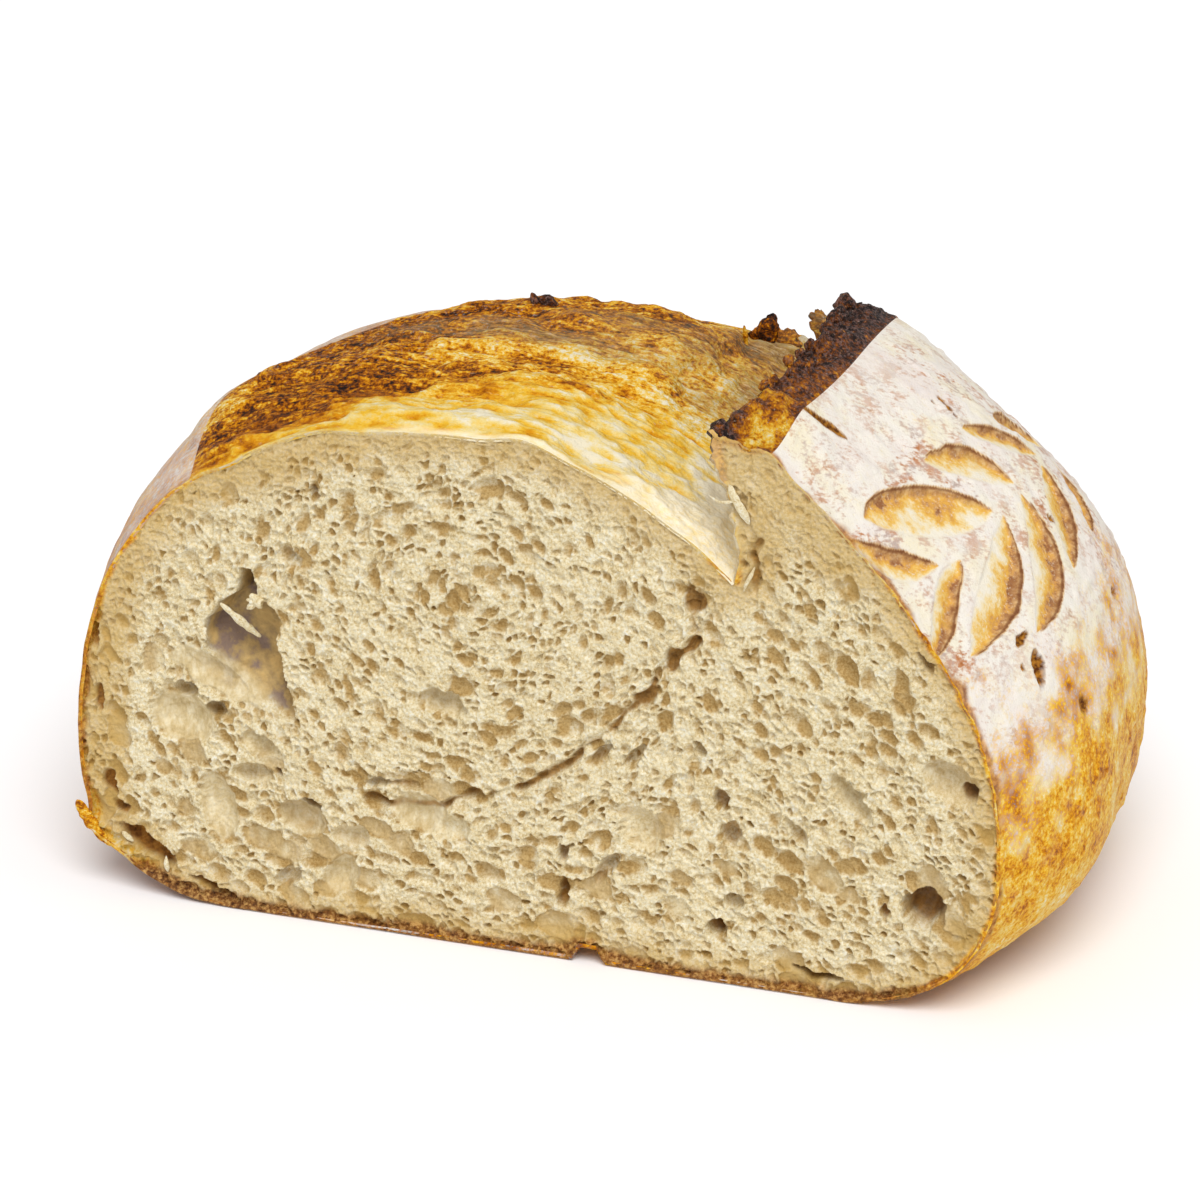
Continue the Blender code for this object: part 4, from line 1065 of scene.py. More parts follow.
def makeEar():
    # columns from the lip across the torn band, round its edge and down the wall to the valley
    depths = depthRows[:openingRow + 1]
    bandShares = np.linspace(0, 1, ear["bandColumns"] + 1)
    wallShares = np.linspace(0, 1, ear["wallColumns"] + 1)
    band = surfacePoints("band", bandShares[None, :-1], depths[:, None])
    wall = surfacePoints("wall", wallShares[None, :], depths[:, None])
    points = np.concatenate((band, wall), axis=1)
    place = np.concatenate((bandShares[:-1] - 1, wallShares))[None, :]  # -1 at the lip, 0 at the tip, 1 below
    normals = gridNormals(points)
    depth = points[..., 1]
    normals[..., 1] *= smoothStep(0, 2, depth)
    x, z = points[..., 0], points[..., 2]
    edge = smoothStep(-1, -0.93, place) * (1 - smoothStep(0.75, 1, place))
    edge = edge * (1 - smoothStep(98, 112, depth))
    near = hill(0, 0.85, place)
    crag = layeredNoise(x, depth, z, 2.4, 71, 3)
    spikes = np.maximum(layeredNoise(x, depth, z, 3.2, 75, 2), 0) ** 1.3
    height = edge * (0.8 * crag + near * ear["cragHeight"] * (crag + 2.6 * spikes))
    height = height - ear["crestDrop"] * hill(0, 0.6, place) * smoothStep(16, 36, depth)
    points = points + normals * height[..., None]
    front = smoothStep(6, 30, depth + 5 * noise(x, depth, z, 5.0, 77))
    bake = 0.44 + 0.40 * front + 0.26 * layeredNoise(x, depth, z, 1.7, 79, 2)
    bake = bake + 0.12 * smoothStep(30, 60, depth)
    bake = bake + 0.30 * hill(-0.1, 0.5, place) * (0.3 + noise(x, depth, z, 3.0, 80)) * (1 - front)
    below = smoothStep(0.15, 0.6, place)
    cutWall = smoothStep(0.02, 0.2, place) * (1 - smoothStep(1.5, 4, depth))
    below = np.maximum(below, cutWall)
    bake = bake + below * (0.08 + 0.20 * front - bake)
    bake = bake + hill(-1, 0.3, place) * (0.14 - 0.24 * front)
    spur = hill(0, 0.5, place) * (1 - smoothStep(2, 6, depth + 2 * noise(x, depth, z, 3.0, 78)))
    bake = bake + 0.40 * spur
    straw = below * (1 - 0.3 * noise(x, depth, z, 5.0, 82))
    # pale cream dough below the tip near the cut, made lighter in part as painted light against the valley's
    # shade
    pale = smoothStep(0.12, 0.45, place + 0.2 * noise(x, depth, z, 3.0, 76))
    pale = np.maximum(pale * (1 - smoothStep(14, 34, depth)), cutWall)
    masks = {"bake": bake, "straw": np.clip(straw, 0, 1), "pale": pale}
    flat, ids, masks = tuckedGrid(points, masks)
    faces = [gridFaces(ids[:-1]), fanFaces(ids[-2], ids[-1, 0])]
    addPiece("ear", flat, faces, earMaterial, masks)
    return points[0]


earRim = makeEar()

# crumb: the cut face

crumb = {
    "step": 0.2,
    "pieces": ("crumbFarLeft", "crumbLeft", "crumbMiddle", "crumbRight", "crumbFarRight"),
    "swirl": (-11.0, 77.0),  # middle of the coil of dough in the left lobe
    "denseSpot": (55.0, 104.0),  # finer crumb under the ear
    # foam cells: spacing, stretch along the flow and seed
    "cells": {"tiny": (1.05, 1.2, 90), "small": (1.95, 1.35, 92)},
    # bowls: spacing, radius, depth, stretch along the flow, power and seed
    "bowls": {"medium": (2.90, 1.05, 1.00, 1.6, 0.6, 94), "large": (5.20, 1.6, 1.40, 1.6, 0.55, 96),
              "wide": (9.5, 2.6, 2.2, 1.5, 0.55, 98), "deep": (4.2, 0.48, 1.2, 1.5, 0.5, 100)},
    # larger holes: x, z, half width, half height, turn, depth, brown (the crust's own brown in cavities by
    # the rim, painted shade in the rest), membrane
    "holes": ((82.1, 22.3, 4.6, 4.4, 0, 7.0, 0.8, 0.3), (74.6, 21.1, 0.9, 1.7, 0, 2.0, 0.8, 0),
              (40.0, 11.5, 2.4, 2.1, 0, 4.0, 0.8, 0), (43.5, 18.0, 2.2, 1.8, 0, 2.5, 0.2, 0.2),
              (86.8, 50.5, 6.2, 4.2, -35, 3.2, 0.1, 0.6), (90.3, 48.4, 2.0, 1.9, -35, 4.5, 0.8, 0),
              (67.0, 44.3, 6.6, 2.6, -48, 3.4, 0.0, 0.5), (-83.4, 11.0, 7.4, 2.5, -32, 2.8, 1.0, 0),
              (-91.2, 24.2, 1.6, 3.0, 15, 2.0, 1.0, 0), (-89.2, 18.8, 1.5, 2.0, 30, 1.8, 0.9, 0),
              (-69.0, 3.6, 5.6, 0.8, -22, 2.0, 0.9, 0), (-92.6, 43.0, 1.0, 3.2, 0, 1.4, 0.9, 0),
              (-89.0, 79.5, 2.0, 3.3, 25, 3.0, 0.9, 0), (-93.2, 57.0, 1.0, 3.0, 5, 2.0, 0.7, 0),
              (-18.0, 52.5, 5.4, 3.0, -12, 3.2, 0.1, 0.5), (-48.8, 22.3, 5.6, 3.8, -20, 3.6, 0.15, 0.8),
              (-46.8, 25.6, 2.4, 1.2, -10, 4.0, 0.6, 0), (-59.5, 30.9, 4.2, 2.4, 0, 2.8, 0.1, 0.4),
              (-54.0, 32.0, 1.0, 1.2, 0, 2.2, 0.6, 0), (-74.6, 41.2, 7.4, 6.0, -10, 3.0, 0, 1.0),
              (-73.5, 47.5, 3.0, 2.2, -10, 3.6, 0.2, 0.2), (-67.5, 43.8, 2.6, 1.8, 20, 3.6, 0.3, 0),
              (-58.0, 37.8, 4.4, 2.4, -15, 2.6, 0, 0.6), (-38.0, 20.0, 4.0, 2.4, 0, 2.4, 0.1, 0.6),
              (-23.0, 27.5, 6.5, 4.5, -5, 2.8, 0, 0.9), (-32.0, 33.0, 3.0, 1.3, 5, 2.6, 0.3, 0),
              (-16.5, 25.0, 4.6, 2.8, 10, 2.2, 0, 0.5), (40.5, 40.0, 1.5, 2.4, 0, 2.8, 0.6, 0),
              (42.5, 32.5, 2.4, 2.7, 0, 2.6, 0.5, 0), (7.5, 14.2, 1.3, 3.6, 0, 3.0, 0.7, 0),
              (7.6, 23.2, 1.2, 2.2, 0, 2.6, 0.6, 0), (15.5, 46.5, 1.0, 3.4, -40, 2.2, 0.2, 0),
              (22.5, 46.5, 1.1, 3.4, -40, 2.2, 0.2, 0), (60.8, 4.6, 6.0, 1.0, 0, 4.0, 0.9, 0),
              (-44.4, 94.2, 1.2, 2.0, 20, 2.0, 0.3, 0), (-49.7, 79.6, 1.6, 2.8, 20, 2.0, 0.1, 0),
              (81.2, 75.0, 1.1, 2.6, 35, 2.2, 0.3, 0), (-40.5, 10.5, 5.5, 3.4, 50, 3.0, 0, 0.8),
              (-67.0, 22.0, 4.0, 8.0, 10, 2.4, 0, 0.8), (-52.0, 8.5, 3.4, 2.0, 40, 2.6, 0.2, 0.2),
              (16.7, 21.2, 1.6, 4.4, -30, 2.4, 0.3, 0), (36.3, 50.5, 1.2, 2.2, 20, 2.2, 0.3, 0),
              (24.0, 31.0, 5.0, 4.2, -50, 2.0, 0, 0.5), (56.0, 35.0, 3.5, 1.4, -50, 2.0, 0.1, 0)),
    "tunnel": ((-69.2, 60.4), (-68.8, 64.0), (-64.6, 68.6), (-61.3, 70.4), (-60.5, 76.6), (-57.7, 76.4),
               (-57.5, 70.6), (-58.6, 67.9), (-55.8, 69.2), (-52.7, 68.3), (-52.9, 61.5), (-51.9, 54.4),
               (-50.3, 48.4), (-49.0, 43.0), (-55.2, 45.3), (-61.0, 49.4), (-65.6, 54.3), (-68.4, 57.6)),
    "tunnelDepth": 8.0, "tunnelRim": 1.5,
    # the tunnel's sloping floor: a place on its front edge, and the way in from there
    "tunnelFloor": ((-68.4, 57.6), (0.60, 0.80)),
    # the film before the tunnel: middle, half sizes, turn and depth
    "film": (-66.0, 51.5, 16.0, 5.5, -24, 3.4),
    # folds of the dough: width, depth and route
    "folds": ((1.2, 3.2, ((34.7, 84.0), (34.4, 73.7), (27.0, 64.3), (24.2, 59.0))),
              (0.8, 1.8, ((24.2, 59.0), (15.6, 50.8), (7.3, 41.9), (-1.0, 36.5), (-8.0, 33.6))),
              (0.8, 2.0, ((-10.0, 33.4), (-22.7, 28.4), (-34.0, 28.6))),
              (0.9, 2.2, ((43.6, 104.5), (46.6, 97.0), (47.2, 89.5), (45.4, 85.0))),
              (0.6, 1.4, ((-44.0, 40.0), (-34.0, 34.5), (-24.0, 33.0))),
              (0.6, 1.3, ((38.5, 103.0), (42.5, 96.0), (44.5, 90.0)))),
}


def makeOutline():
    # the closed rim of the cut face, anticlockwise from the base's right corner
    parts = (rightRim, earRim[1:], bloomRim[1:], leftRim[1:], baseRim[1:-1])
    return np.concatenate(parts)[:, (0, 2)]


def insideOutline(gridX, gridZ, outline):
    # even-odd count of the outline's crossings to the left of each grid point, row by row
    start = outline
    end = np.roll(outline, -1, axis=0)
    crosses = (start[None, :, 1] > gridZ[:, None]) != (end[None, :, 1] > gridZ[:, None])
    rise = np.where(np.abs(end[:, 1] - start[:, 1]) < 1e-12, 1e-12, end[:, 1] - start[:, 1])
    at = start[None, :, 0] + (gridZ[:, None] - start[None, :, 1]) / rise * (end[:, 0] - start[:, 0])[None, :]
    at = np.sort(np.where(crosses, at, np.inf), axis=1)[:, :16]
    return (at[:, None, :] < gridX[None, :, None]).sum(axis=2) % 2 == 1


def nearestOnLine(points, start, end):
    # nearest place on any of the segments, and how far it is
    way = end - start
    square = np.maximum((way ** 2).sum(axis=1), 1e-12)
    nearest = np.empty(points.shape)
    distance = np.empty(len(points))
    for first in range(0, len(points), 2000):
        some = points[first:first + 2000]
        off = some[:, None, :] - start[None]
        share = np.clip((off * way[None]).sum(axis=2) / square, 0, 1)
        gap = ((off - share[..., None] * way[None]) ** 2).sum(axis=2)
        best = np.argmin(gap, axis=1)
        nearest[first:first + 2000] = start[best] + share[np.arange(len(some)), best, None] * way[best]
        distance[first:first + 2000] = np.sqrt(gap[np.arange(len(some)), best])
    return nearest, distance


def flowAngle(x, z):
    # direction of the pores: round the swirl on the left, along the right crust on the right, level below
    aroundX, aroundZ = -(z - crumb["swirl"][1]), x - crumb["swirl"][0]
    swirlTurn = np.arctan2(aroundZ, aroundX)
    rightShare = smoothStep(18, 48, x + 0.15 * (z - 60))
    lowShare = 1 - smoothStep(12, 40, z)
    leftShare = 1 - smoothStep(-85, -60, x)
    parts = ((swirlTurn, (1 - rightShare) * (1 - lowShare)), (math.radians(-52) + 0 * x, rightShare),
             (math.radians(-10) + 0 * x, 0.8 * lowShare), (math.radians(75) + 0 * x, 0.7 * leftShare))
    doubleX = sum(weight * np.cos(2 * angle) for angle, weight in parts)
    doubleZ = sum(weight * np.sin(2 * angle) for angle, weight in parts)
    return 0.5 * np.arctan2(doubleZ, doubleX) + 0.35 * flatNoise(x, z, 9.0, 81)


def bowlLayer(x, z, angle, layer, share, scale):
    # union of oval bowls on a jittered lattice: depth times a power of 1 minus the squared distance
    spacing, radius, depth, stretch, power, seed = crumb["bowls"][layer]
    u, v = x / spacing, z / spacing
    wholeU, wholeV = np.floor(u).astype(np.int64), np.floor(v).astype(np.int64)
    cosine, sine = np.cos(angle), np.sin(angle)
    deepest = np.zeros(x.shape)
    for stepU in (-1, 0, 1):
        for stepV in (-1, 0, 1):
            cellU, cellV = wholeU + stepU, wholeV + stepV
            offX = (u - cellU - latticeValue(cellU, cellV, 0, seed)) * spacing
            offZ = (v - cellV - latticeValue(cellU, cellV, 1, seed)) * spacing
            size = radius * scale * (0.55 + 0.75 * latticeValue(cellU, cellV, 2, seed))
            along = (offX * cosine + offZ * sine) / (size * stretch)
            aside = (offZ * cosine - offX * sine) / size
            bowl = np.clip(1 - along ** 2 - aside ** 2, 0, 1) ** power
            there = latticeValue(cellU, cellV, 3, seed) < share
            deepest = np.maximum(deepest, there * bowl * depth * size / radius)
    return deepest


def cellLayer(x, z, angle, layer):
    # cells of a foam around jittered lattice points: how far a point is from the wall between its two
    # nearest points, in spacings, and a random value for each cell
    spacing, stretch, seed = crumb["cells"][layer]
    u, v = x / spacing, z / spacing
    wholeU, wholeV = np.floor(u).astype(np.int64), np.floor(v).astype(np.int64)
    cosine, sine = np.cos(angle), np.sin(angle)
    first = np.full(x.shape, 9.0)
    second = np.full(x.shape, 9.0)
    value = np.zeros(x.shape)
    for stepU in (-1, 0, 1):
        for stepV in (-1, 0, 1):
            cellU, cellV = wholeU + stepU, wholeV + stepV
            offX = u - cellU - 0.15 - 0.7 * latticeValue(cellU, cellV, 0, seed)
            offZ = v - cellV - 0.15 - 0.7 * latticeValue(cellU, cellV, 1, seed)
            away = np.hypot((offX * cosine + offZ * sine) / stretch, offZ * cosine - offX * sine)
            closer = away < first
            second = np.where(closer, first, np.minimum(second, away))
            value = np.where(closer, latticeValue(cellU, cellV, 2, seed), value)
            first = np.minimum(first, away)
    return second - first, value


def crumbRelief(x, z, edge):
    # how far each point of the cut face lies behind it, with the masks for its colours
    warpX = x + 0.25 * flatNoise(x, z, 1.1, 83) + 0.7 * flatNoise(x, z, 4.0, 84)
    warpZ = z + 0.25 * flatNoise(x, z, 1.1, 85) + 0.7 * flatNoise(x, z, 4.0, 86)
    angle = flowAngle(x, z)
    low = 1 - smoothStep(22, 46, z + 6 * flatNoise(x, z, 14.0, 87))
    left = 1 - smoothStep(-72, -44, x)
    loose = np.clip(np.maximum(low, 0.6 * left * (1 - smoothStep(50, 75, z))), 0, 1)
    fromSpot = np.hypot(x - crumb["denseSpot"][0], z - crumb["denseSpot"][1])
    dense = np.maximum(1 - smoothStep(2, 7.5, edge), 1 - smoothStep(8, 15, fromSpot))
    dense = dense * smoothStep(55, 75, z)
    vary = (1 + 0.3 * flatNoise(x, z, 8.0, 88)) * (1 - 0.35 * dense)
    wall, value = cellLayer(warpX, warpZ, angle, "tiny")
    tiny = 0.34 * (0.35 + 0.65 * value) * smoothStep(0.02, 0.55, wall)
    wall, value = cellLayer(warpX, warpZ, angle, "small")
    small = 0.95 * np.clip(1.5 * value - 0.35, 0, 1) * smoothStep(0.03, 0.42, wall) * (1 - 0.45 * dense)
    medium = bowlLayer(warpX, warpZ, angle, "medium", 0.40 - 0.3 * dense, vary)
    large = bowlLayer(warpX, warpZ, angle, "large", (0.24 + 0.25 * loose) * (1 - dense), vary)
    wide = bowlLayer(warpX, warpZ, angle, "wide", 0.45 * loose, vary)
    deep = bowlLayer(warpX, warpZ, angle, "deep", (0.2 + 0.35 * loose) * (1 - dense), 1.0)
    broad = np.maximum(np.maximum(medium, large), wide)
    rough = 1 - 0.55 * smoothStep(0.4, 1.3, broad)
    pits = np.maximum(np.maximum(broad, deep), small) + 0.8 * tiny * rough
    # painted shade: the deeper the pits, the more tan their colour
    poreShade = np.maximum(np.maximum(0.8 * broad, 1.3 * deep), 0.85 * small) + 0.9 * tiny - 0.12
    poreShade = np.clip(poreShade / 1.05, 0, 1.2) * np.clip(0.85 + 0.8 * flatNoise(x, z, 2.4, 115), 0.3, 1.25)

    hole = np.zeros(x.shape)
    brownAndShade = np.zeros(x.shape)
    membrane = 0.5 * smoothStep(0.6, 1.8, wide)
    holeX = x + 0.5 * flatNoise(x, z, 2.4, 101) + 0.3 * flatNoise(x, z, 1.1, 102)
    holeZ = z + 0.5 * flatNoise(x, z, 2.4, 103) + 0.3 * flatNoise(x, z, 1.1, 104)
    for middleAcross, middleUp, halfWidth, halfHeight, turn, depth, tint, film in crumb["holes"]:
        along, aside = ovalPlace(holeX - middleAcross, holeZ - middleUp, halfWidth, halfHeight, turn)
        bowl = np.clip(1 - along ** 2 - aside ** 2, 0, 1)
        hole = np.maximum(hole, 1.3 * depth * bowl ** (0.45 + 0.35 * film))
        brownAndShade = np.maximum(brownAndShade, tint * smoothStep(0.05, 0.5, bowl))
        membrane = np.maximum(membrane, film * smoothStep(0, 0.3, bowl))

    fold = np.zeros(x.shape)
    foldX = x + 0.9 * flatNoise(x, z, 3.0, 105)
    foldZ = z + 0.9 * flatNoise(x, z, 3.0, 106)
    for width, depth, route in crumb["folds"]:
        line = np.array(route)
        near = (foldX > line[:, 0].min() - 3) & (foldX < line[:, 0].max() + 3)
        near = near & (foldZ > line[:, 1].min() - 3) & (foldZ < line[:, 1].max() + 3)
        spots = np.stack((foldX[near], foldZ[near]), -1)
        off = nearestOnLine(spots, line[:-1], line[1:])[1]
        broken = 0.35 + 0.65 * smoothStep(-0.35, 0.15, flatNoise(x[near], z[near], 4.5, 107))
        groove = depth * broken * np.clip(1 - off / (width * (0.6 + broken)), 0, 1) ** 0.6
        fold[near] = np.maximum(fold[near], groove)

    mouth = np.array(crumb["tunnel"])
    spots = np.stack((x + 0.6 * flatNoise(x, z, 2.2, 108), z + 0.6 * flatNoise(x, z, 2.2, 109)), -1)
    near = (np.abs(x + 60) < 16) & (np.abs(z - 60) < 20)
    tunnel = np.zeros(x.shape)
    grey = np.zeros(x.shape)
    some = spots[near]
    start, end = mouth, np.roll(mouth, -1, axis=0)
    crosses = (start[None, :, 1] > some[:, None, 1]) != (end[None, :, 1] > some[:, None, 1])
    lean = (end[:, 0] - start[:, 0]) / (end[:, 1] - start[:, 1])
    at = start[:, 0] + (some[:, None, 1] - start[:, 1]) * lean
    within = (crosses & (at < some[:, :1])).sum(axis=1) % 2 == 1
    off = nearestOnLine(some, start, end)[1] * within
    (floorX, floorZ), (inX, inZ) = crumb["tunnelFloor"]
    fromFloor = (some[:, 0] - floorX) * inX + (some[:, 1] - floorZ) * inZ
    hollow = crumb["tunnelDepth"] * smoothStep(0, 1, off / crumb["tunnelRim"]) ** 0.7
    hollow = np.minimum(hollow, np.maximum(2.4 + 1.15 * fromFloor, 0) * within)
    hollow = hollow + 0.5 * flatNoise(some[:, 0], some[:, 1], 5.0, 112) * smoothStep(2, 6, hollow)
    tunnel[near] = hollow
    # painted shade: the tunnel darkens to grey-brown with depth, and the film before it darkens towards the
    # tunnel
    grey[near] = smoothStep(0.4, 3.5, hollow)
    filmX, filmZ, halfLong, halfWide, turn, filmDepth = crumb["film"]
    along, aside = ovalPlace(x - filmX, z - filmZ, halfLong, halfWide, turn)
    ramped = hill(0, 1, np.sqrt(along ** 2 + aside ** 2))
    slope = filmDepth * ramped * smoothStep(-86, -62, x)
    ragged = smoothStep(0.10, 0.35, ramped + 0.12 * flatNoise(x, z, 1.6, 114))
    membrane = np.maximum(membrane, 1.15 * ragged)
    grey = np.maximum(grey, 0.35 * smoothStep(0.45, 0.95, ramped))

    calm = 1 - 0.66 * np.clip(membrane, 0, 1.15)
    total = 0.30 * (1 + flatNoise(x, z, 6.0, 110)) + 0.12 * flatNoise(x, z, 0.8, 111)
    total = total + 0.12 * flatNoise(x, z, 0.45, 113)
    total = total + 0.95 * pits * calm * (1 - 0.5 * smoothStep(0, 1.5, hole)) * (1 - smoothStep(0, 3, tunnel))
    total = total + np.maximum(hole, fold) + slope + tunnel
    total = total * smoothStep(0.1, 1.1, edge)
    # painted shade: the folds' creases take the tan of the pits and darken to brown, as do the deeper holes
    poreShade = np.maximum(poreShade * calm, smoothStep(0.3, 2.2, fold))
    brownAndShade = np.maximum(brownAndShade * smoothStep(0.2, 0.8, edge), 0.6 * smoothStep(0.5, 1.8, fold))
    masks = {"poreShade": poreShade, "brownAndShade": brownAndShade, "membrane": np.clip(membrane, 0, 1), "grey": grey}
    return total, masks


def makeCrumb():
    # a grid over the cut face, clipped to the outline, pushed back by the relief
    outline = makeOutline()
    step = crumb["step"]
    low, high = outline.min(axis=0) - 1.5 * step, outline.max(axis=0) + 1.5 * step
    gridX = np.arange(low[0], high[0], step)
    gridZ = np.arange(low[1], high[1], step)
    inside = insideOutline(gridX, gridZ, outline)
    cell = inside[:-1, :-1] | inside[1:, :-1] | inside[:-1, 1:] | inside[1:, 1:]
    kept = np.zeros(inside.shape, bool)
    for part in (kept[:-1, :-1], kept[1:, :-1], kept[:-1, 1:], kept[1:, 1:]):
        part |= cell
    x, z = np.meshgrid(gridX, gridZ)
    outer = kept & ~inside
    start, end = outline, np.roll(outline, -1, axis=0)
    snapped = nearestOnLine(np.stack((x[outer], z[outer]), -1), start, end)[0]
    x[outer], z[outer] = snapped[:, 0], snapped[:, 1]
    reach = round(10 / step)
    count = np.cumsum(np.cumsum(np.pad(inside, ((reach + 1, reach), (reach + 1, reach))).astype(int), 0), 1)
    size = 2 * reach + 1
    total = count[size:, size:] - count[:-size, size:] - count[size:, :-size] + count[:-size, :-size]
    close = kept & (total < size * size)
    edge = np.full(inside.shape, 99.0)
    coarse = start[::3]
    spots = np.stack((x[close], z[close]), -1)
    edge[close] = nearestOnLine(spots, coarse, np.roll(coarse, -1, axis=0))[1]
    edge[outer] = 0
    print("crumb outline", len(outline), "grid", kept.sum())
    points = np.zeros((*inside.shape, 3))
    points[..., 0], points[..., 2] = x, z
    relief, fields = crumbRelief(x[kept], z[kept], edge[kept])
    points[kept, 1] = np.maximum(relief, 0)
    spot = edge[kept]
    keptX, keptZ = x[kept], z[kept]
    onBase = 1 - smoothStep(3, 10, keptZ)
    onTop = smoothStep(84, 100, keptZ) * smoothStep(-90, -60, keptX)
    onLeft = (1 - smoothStep(-90, -70, keptX)) * (1 - smoothStep(50, 80, keptZ))
    corner = (1 - smoothStep(-75, -45, keptX)) * (1 - smoothStep(16, 26, keptZ))
    onWall = hill(46, 6, keptX) * smoothStep(86, 92, keptZ) * (1 - smoothStep(112, 115, keptZ))
    onSpur = smoothStep(108, 113, keptZ - 0.9 * (keptX - 44)) * smoothStep(30, 36, keptX) * (keptX < 56)
    thick = 1.0 + 1.5 * onBase - 0.75 * onTop + 0.9 * onLeft + 1.0 * corner + 1.6 * onSpur
    thick = thick + 0.5 * flatNoise(keptX, keptZ, 4.0, 121)
    fields["crust"] = (1 - smoothStep(0.5 * thick, thick + 0.5, spot)) * (1 - np.maximum(onWall, onTop * 0.6))
    fields["rind"] = np.clip(0.9 * onBase + 0.65 * onLeft * (1 - corner) + 0.3 * corner, 0, 1)
    fields["bake"] = 0.40 + 0.16 * onBase - 0.26 * onTop + 0.40 * onSpur - 0.14 * corner
    fields["bake"] = fields["bake"] + 0.24 * layeredNoise(keptX, keptZ, 0 * keptX, 3.0, 122, 2)
    # a tan band inside the rim: denser crumb, darkened partly as painted shade under the overhanging crust,
    # widest under the ear
    tanSpot = spot - 5 * hill(55, 22, keptX) * smoothStep(75, 95, keptZ)
    tanSpot = tanSpot + 2 * flatNoise(keptX, keptZ, 5.0, 123)
    tanSpot = tanSpot - 6 * (1 - smoothStep(-95, -70, keptX)) - 4 * onTop * (1 - smoothStep(-60, -20, keptX))
    fields["nearCrustShade"] = 1 - smoothStep(0.5, 10.0, tanSpot)
    masks = {}
    for name, values in fields.items():
        full = np.zeros(inside.shape)
        full[kept] = values
        masks[name] = full.ravel()
    ids = np.arange(inside.size).reshape(inside.shape)
    corners = (ids[:-1, :-1], ids[:-1, 1:], ids[1:, 1:], ids[1:, :-1])
    bounds = np.quantile(np.nonzero(cell)[1], np.linspace(0, 1, len(crumb["pieces"]) + 1)).astype(int)
    bounds[-1] = cell.shape[1]
    for piece, name in enumerate(crumb["pieces"]):
        some = np.zeros(cell.shape, bool)
        some[:, bounds[piece]:bounds[piece + 1]] = cell[:, bounds[piece]:bounds[piece + 1]]
        faces = [np.stack([corner[some] for corner in corners], -1)]
        addPiece(name, points.reshape(-1, 3), faces, crumbMaterial, masks)


makeCrumb()

# bits: crags, flaps and strands that stand out of the torn places

bits = {
    # lumps: name, material, middle as x, depth and z, half sizes, tilt in degrees, how jagged, bake, straw
    "lumps": (("rearCragA", "bloom", (20.6, 95, 102.6), (3.0, 2.0, 4.4), -25, 0.5, 0.80, 0.0),
              ("rearCragB", "bloom", (25.4, 96, 101.0), (3.6, 2.2, 3.0), -40, 0.5, 0.70, 0.2),
              ("topBitA", "ear", (-23.6, 75, 111.8), (0.9, 0.8, 1.5), 20, 0.5, 0.85, 0.0),
              ("topBitB", "ear", (-20.8, 75, 112.3), (1.8, 0.9, 1.3), -10, 0.5, 0.85, 0.0),
              ("bloomLump", "ear", (-0.5, 30, 110.6), (1.5, 1.2, 1.3), 10, 0.5, 0.66, 0.0),
              ("tornSheet", "bloom", (37.4, 80, 110.6), (2.2, 1.4, 4.6), 20, 0.5, 0.62, 0.5),
              ("tornSheetTip", "bloom", (35.4, 80, 113.4), (1.6, 0.9, 1.0), -30, 0.5, 0.66, 0.3),
              ("tunnelCrumbA", "crumb", (-57.2, 0.5, 69.6), (1.7, 0.9, 1.0), -15, 0.9, 0, 0),
              ("tunnelCrumbB", "crumb", (-58.2, 0.5, 68.3), (0.9, 0.7, 0.6), 30, 0.9, 0, 0),
              ("tunnelNib", "crumb", (-69.2, 0.5, 61.0), (0.9, 0.7, 1.8), 15, 0.9, 0, 0)),
    # strands: name, material, half width at the middle, half thickness, bake, route
    "strands": (("valleyFlap", "crumb", 0.9, 0.3, 0,
                 ((41.6, 0.3, 107.4), (42.4, -0.3, 105.4), (43.8, -0.4, 103.2), (45.0, -0.3, 101.2),
                  (45.6, 0.4, 99.4))),
                ("valleyStrand", "crumb", 0.3, 0.25, 0,
                 ((37.4, 1.0, 104.0), (39.6, -0.2, 103.4), (41.6, -0.3, 103.6), (43.4, -0.2, 104.4))),
                ("lowStrand", "crumb", 0.35, 0.25, 0,
                 ((46.9, 0.2, 90.6), (46.2, -0.2, 88.8), (45.3, -0.2, 87.0), (44.8, 0.2, 85.4))),
                ("tunnelStrand", "crumb", 0.9, 0.5, 0,
                 ((-65.0, 0.5, 67.9), (-62.5, 1.2, 65.4), (-60.0, 2.2, 62.8), (-57.8, 3.4, 60.4))),
                ("cavityShardA", "crumb", 0.6, 0.35, 0,
                 ((-79.3, 0.8, 9.0), (-79.2, 0.5, 7.4), (-79.0, 0.7, 5.6))),
                ("cavityShardB", "crumb", 0.6, 0.35, 0,
                 ((-89.0, 0.8, 13.2), (-87.8, 0.6, 12.4), (-86.6, 0.8, 11.4))),
                ("edgeChip", "bloom", 1.5, 0.5, 0.50,
                 ((-92.0, 0.8, 9.6), (-94.4, 0.4, 12.6), (-96.6, 0.2, 15.8), (-98.6, 0.2, 19.2))),
                ("rearStrand", "bloom", 0.5, 0.4, 0.42,
                 ((18.6, 88, 101.6), (18.3, 88, 103.8), (17.9, 88, 106.8)))),
    "strandRings": 40, "strandSides": 14, "strandSmoothings": 12, "strandEnd": 0.2,
    # crumbs along the ear's crest: depth, half size and height above the tip
    "earCrumbs": ((16.8, 1.3, -0.6), (21, 1.0, 0.0), (27, 1.2, 0.1), (33, 1.0, -0.5), (41, 1.3, -0.6),
                  (50, 1.4, -0.8), (58, 1.7, -0.7), (64, 2.0, -0.7), (70, 2.1, -0.9), (75, 1.8, -1.2)),
}


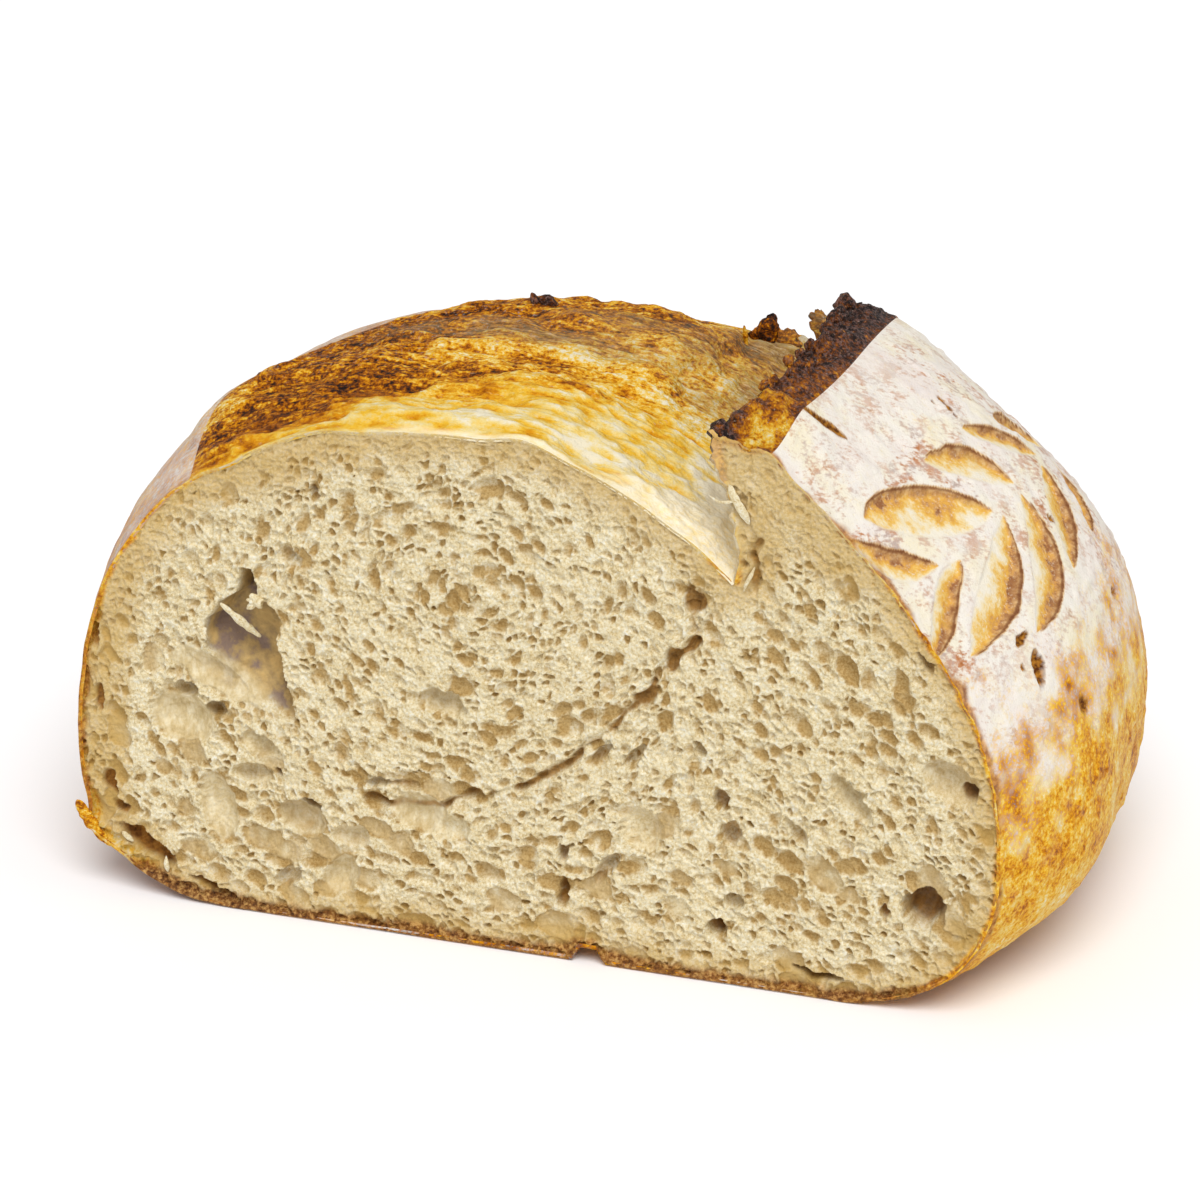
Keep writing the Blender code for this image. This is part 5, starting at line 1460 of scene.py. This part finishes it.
def addClosed(name, kind, start, rings, end, masks):
    # rings of points from the start to the end, each anticlockwise seen from the start, closed at both ends
    rowCount, size = rings.shape[:2]
    ids = np.arange(rowCount * size).reshape(rowCount, size)
    ids = np.concatenate((ids, ids[:, :1]), axis=1)
    first = np.full(size, ids.max() + 1)
    startFaces = np.stack((first, ids[0, :-1], ids[0, 1:]), -1)
    faces = [gridFaces(ids), startFaces, fanFaces(ids[-1], ids.max() + 2)]
    points = np.concatenate((rings.reshape(-1, 3), start[None], end[None]))
    material = {"bloom": bloomMaterial, "ear": earMaterial, "crumb": crumbMaterial}[kind]
    masks = {mask: np.full(len(points), value) for mask, value in masks.items()}
    masks["rough"] = np.ones(len(points))
    addPiece(name, points, faces, material, masks)


def makeLump(name, kind, middle, halves, tilt, jagged, bake, straw, rowCount=34, size=44):
    # an ellipsoid whose points are pushed out and in by noise; its axis is tilted across the picture
    rise = np.linspace(0, np.pi, rowCount + 2)[:, None]
    turn = np.linspace(0, 2 * np.pi, size, endpoint=False)[None, :]
    ball = np.stack((np.sin(rise) * np.cos(turn), -np.sin(rise) * np.sin(turn), -np.cos(rise) + 0 * turn), -1)
    spot = ball * halves
    coarseness = 0.5 * min(halves)
    across, up = spot[..., 0] + middle[0], spot[..., 2] + middle[2]
    rough = layeredNoise(across, spot[..., 1], up, 1.0 + coarseness, 131, 3)
    spot = spot * (1 + jagged * rough + 0.5 * jagged * np.maximum(rough, 0))[..., None]
    cosine, sine = math.cos(math.radians(tilt)), math.sin(math.radians(tilt))
    turned = np.stack((spot[..., 0] * cosine - spot[..., 2] * sine, spot[..., 1],
                       spot[..., 0] * sine + spot[..., 2] * cosine), -1) + middle
    addClosed(name, kind, turned[0].mean(axis=0), turned[1:-1], turned[-1].mean(axis=0),
              {"bake": bake, "straw": straw})


def makeStrand(name, kind, halfWidth, halfThick, bake, route):
    # an oval tube along a smooth line through the route, thinner towards both ends
    corners = np.array(route, float)
    way = np.linspace(0, len(corners) - 1, bits["strandRings"])
    line = np.stack([np.interp(way, np.arange(len(corners)), corners[:, axis]) for axis in range(3)], -1)
    for _ in range(bits["strandSmoothings"]):
        line[1:-1] = (line[:-2] + 2 * line[1:-1] + line[2:]) / 4
    ahead = np.gradient(line, axis=0)
    ahead = ahead / np.linalg.norm(ahead, axis=1, keepdims=True)
    up = np.array((0, -1, 0)) - ahead * -ahead[:, 1:2]
    up = up / np.linalg.norm(up, axis=1, keepdims=True)
    right = np.cross(ahead, up)
    share = np.linspace(0, 1, len(line))
    uneven = 1 + 0.35 * noise(line[:, 0], line[:, 2], share, 1.1, 133)
    taper = (0.25 + 0.75 * np.sin(np.pi * share) ** 0.6) * uneven
    turn = np.linspace(0, 2 * np.pi, bits["strandSides"], endpoint=False)
    across = right[:, None] * (np.cos(turn)[None, :, None] * halfWidth)
    out = up[:, None] * (np.sin(turn)[None, :, None] * halfThick)
    rings = line[:, None] + (across + out) * taper[:, None, None]
    start = line[0] - ahead[0] * bits["strandEnd"]
    end = line[-1] + ahead[-1] * bits["strandEnd"]
    addClosed(name, kind, start, rings, end, {"bake": bake})


def makeBits():
    for lump in bits["lumps"]:
        makeLump(*lump)
    for strand in bits["strands"]:
        makeStrand(*strand)
    for number, (depth, size, lift) in enumerate(bits["earCrumbs"], 1):
        tip = surfacePoints("wall", 0.0, float(depth))
        makeLump(f"earCrumb{number}", "ear", tuple(tip + (-0.2 * size, 0, lift)), (size, size, 0.9 * size),
                 30 * number, 0.6, 0.55 + 0.05 * min(number, 7), 0.0)


makeBits()

# floor


def makeFloor():
    # a plain square, just below the loaf
    half = studio["floorHalf"]
    mesh = bpy.data.meshes.new("floor")
    outline = ((-half, -half), (half, -half), (half, half), (-half, half))
    corners = [(x, y, -studio["floorDrop"]) for x, y in outline]
    mesh.from_pydata(corners, [], [(0, 1, 2, 3)])
    material, _, shader = newMaterial("paleFloor")
    shader.inputs["Base Color"].default_value = linear(*studio["floorColour"])
    shader.inputs["Roughness"].default_value = 0.8
    mesh.materials.append(material)
    item = bpy.data.objects.new("floor", mesh)
    bpy.context.scene.collection.objects.link(item)


makeFloor()
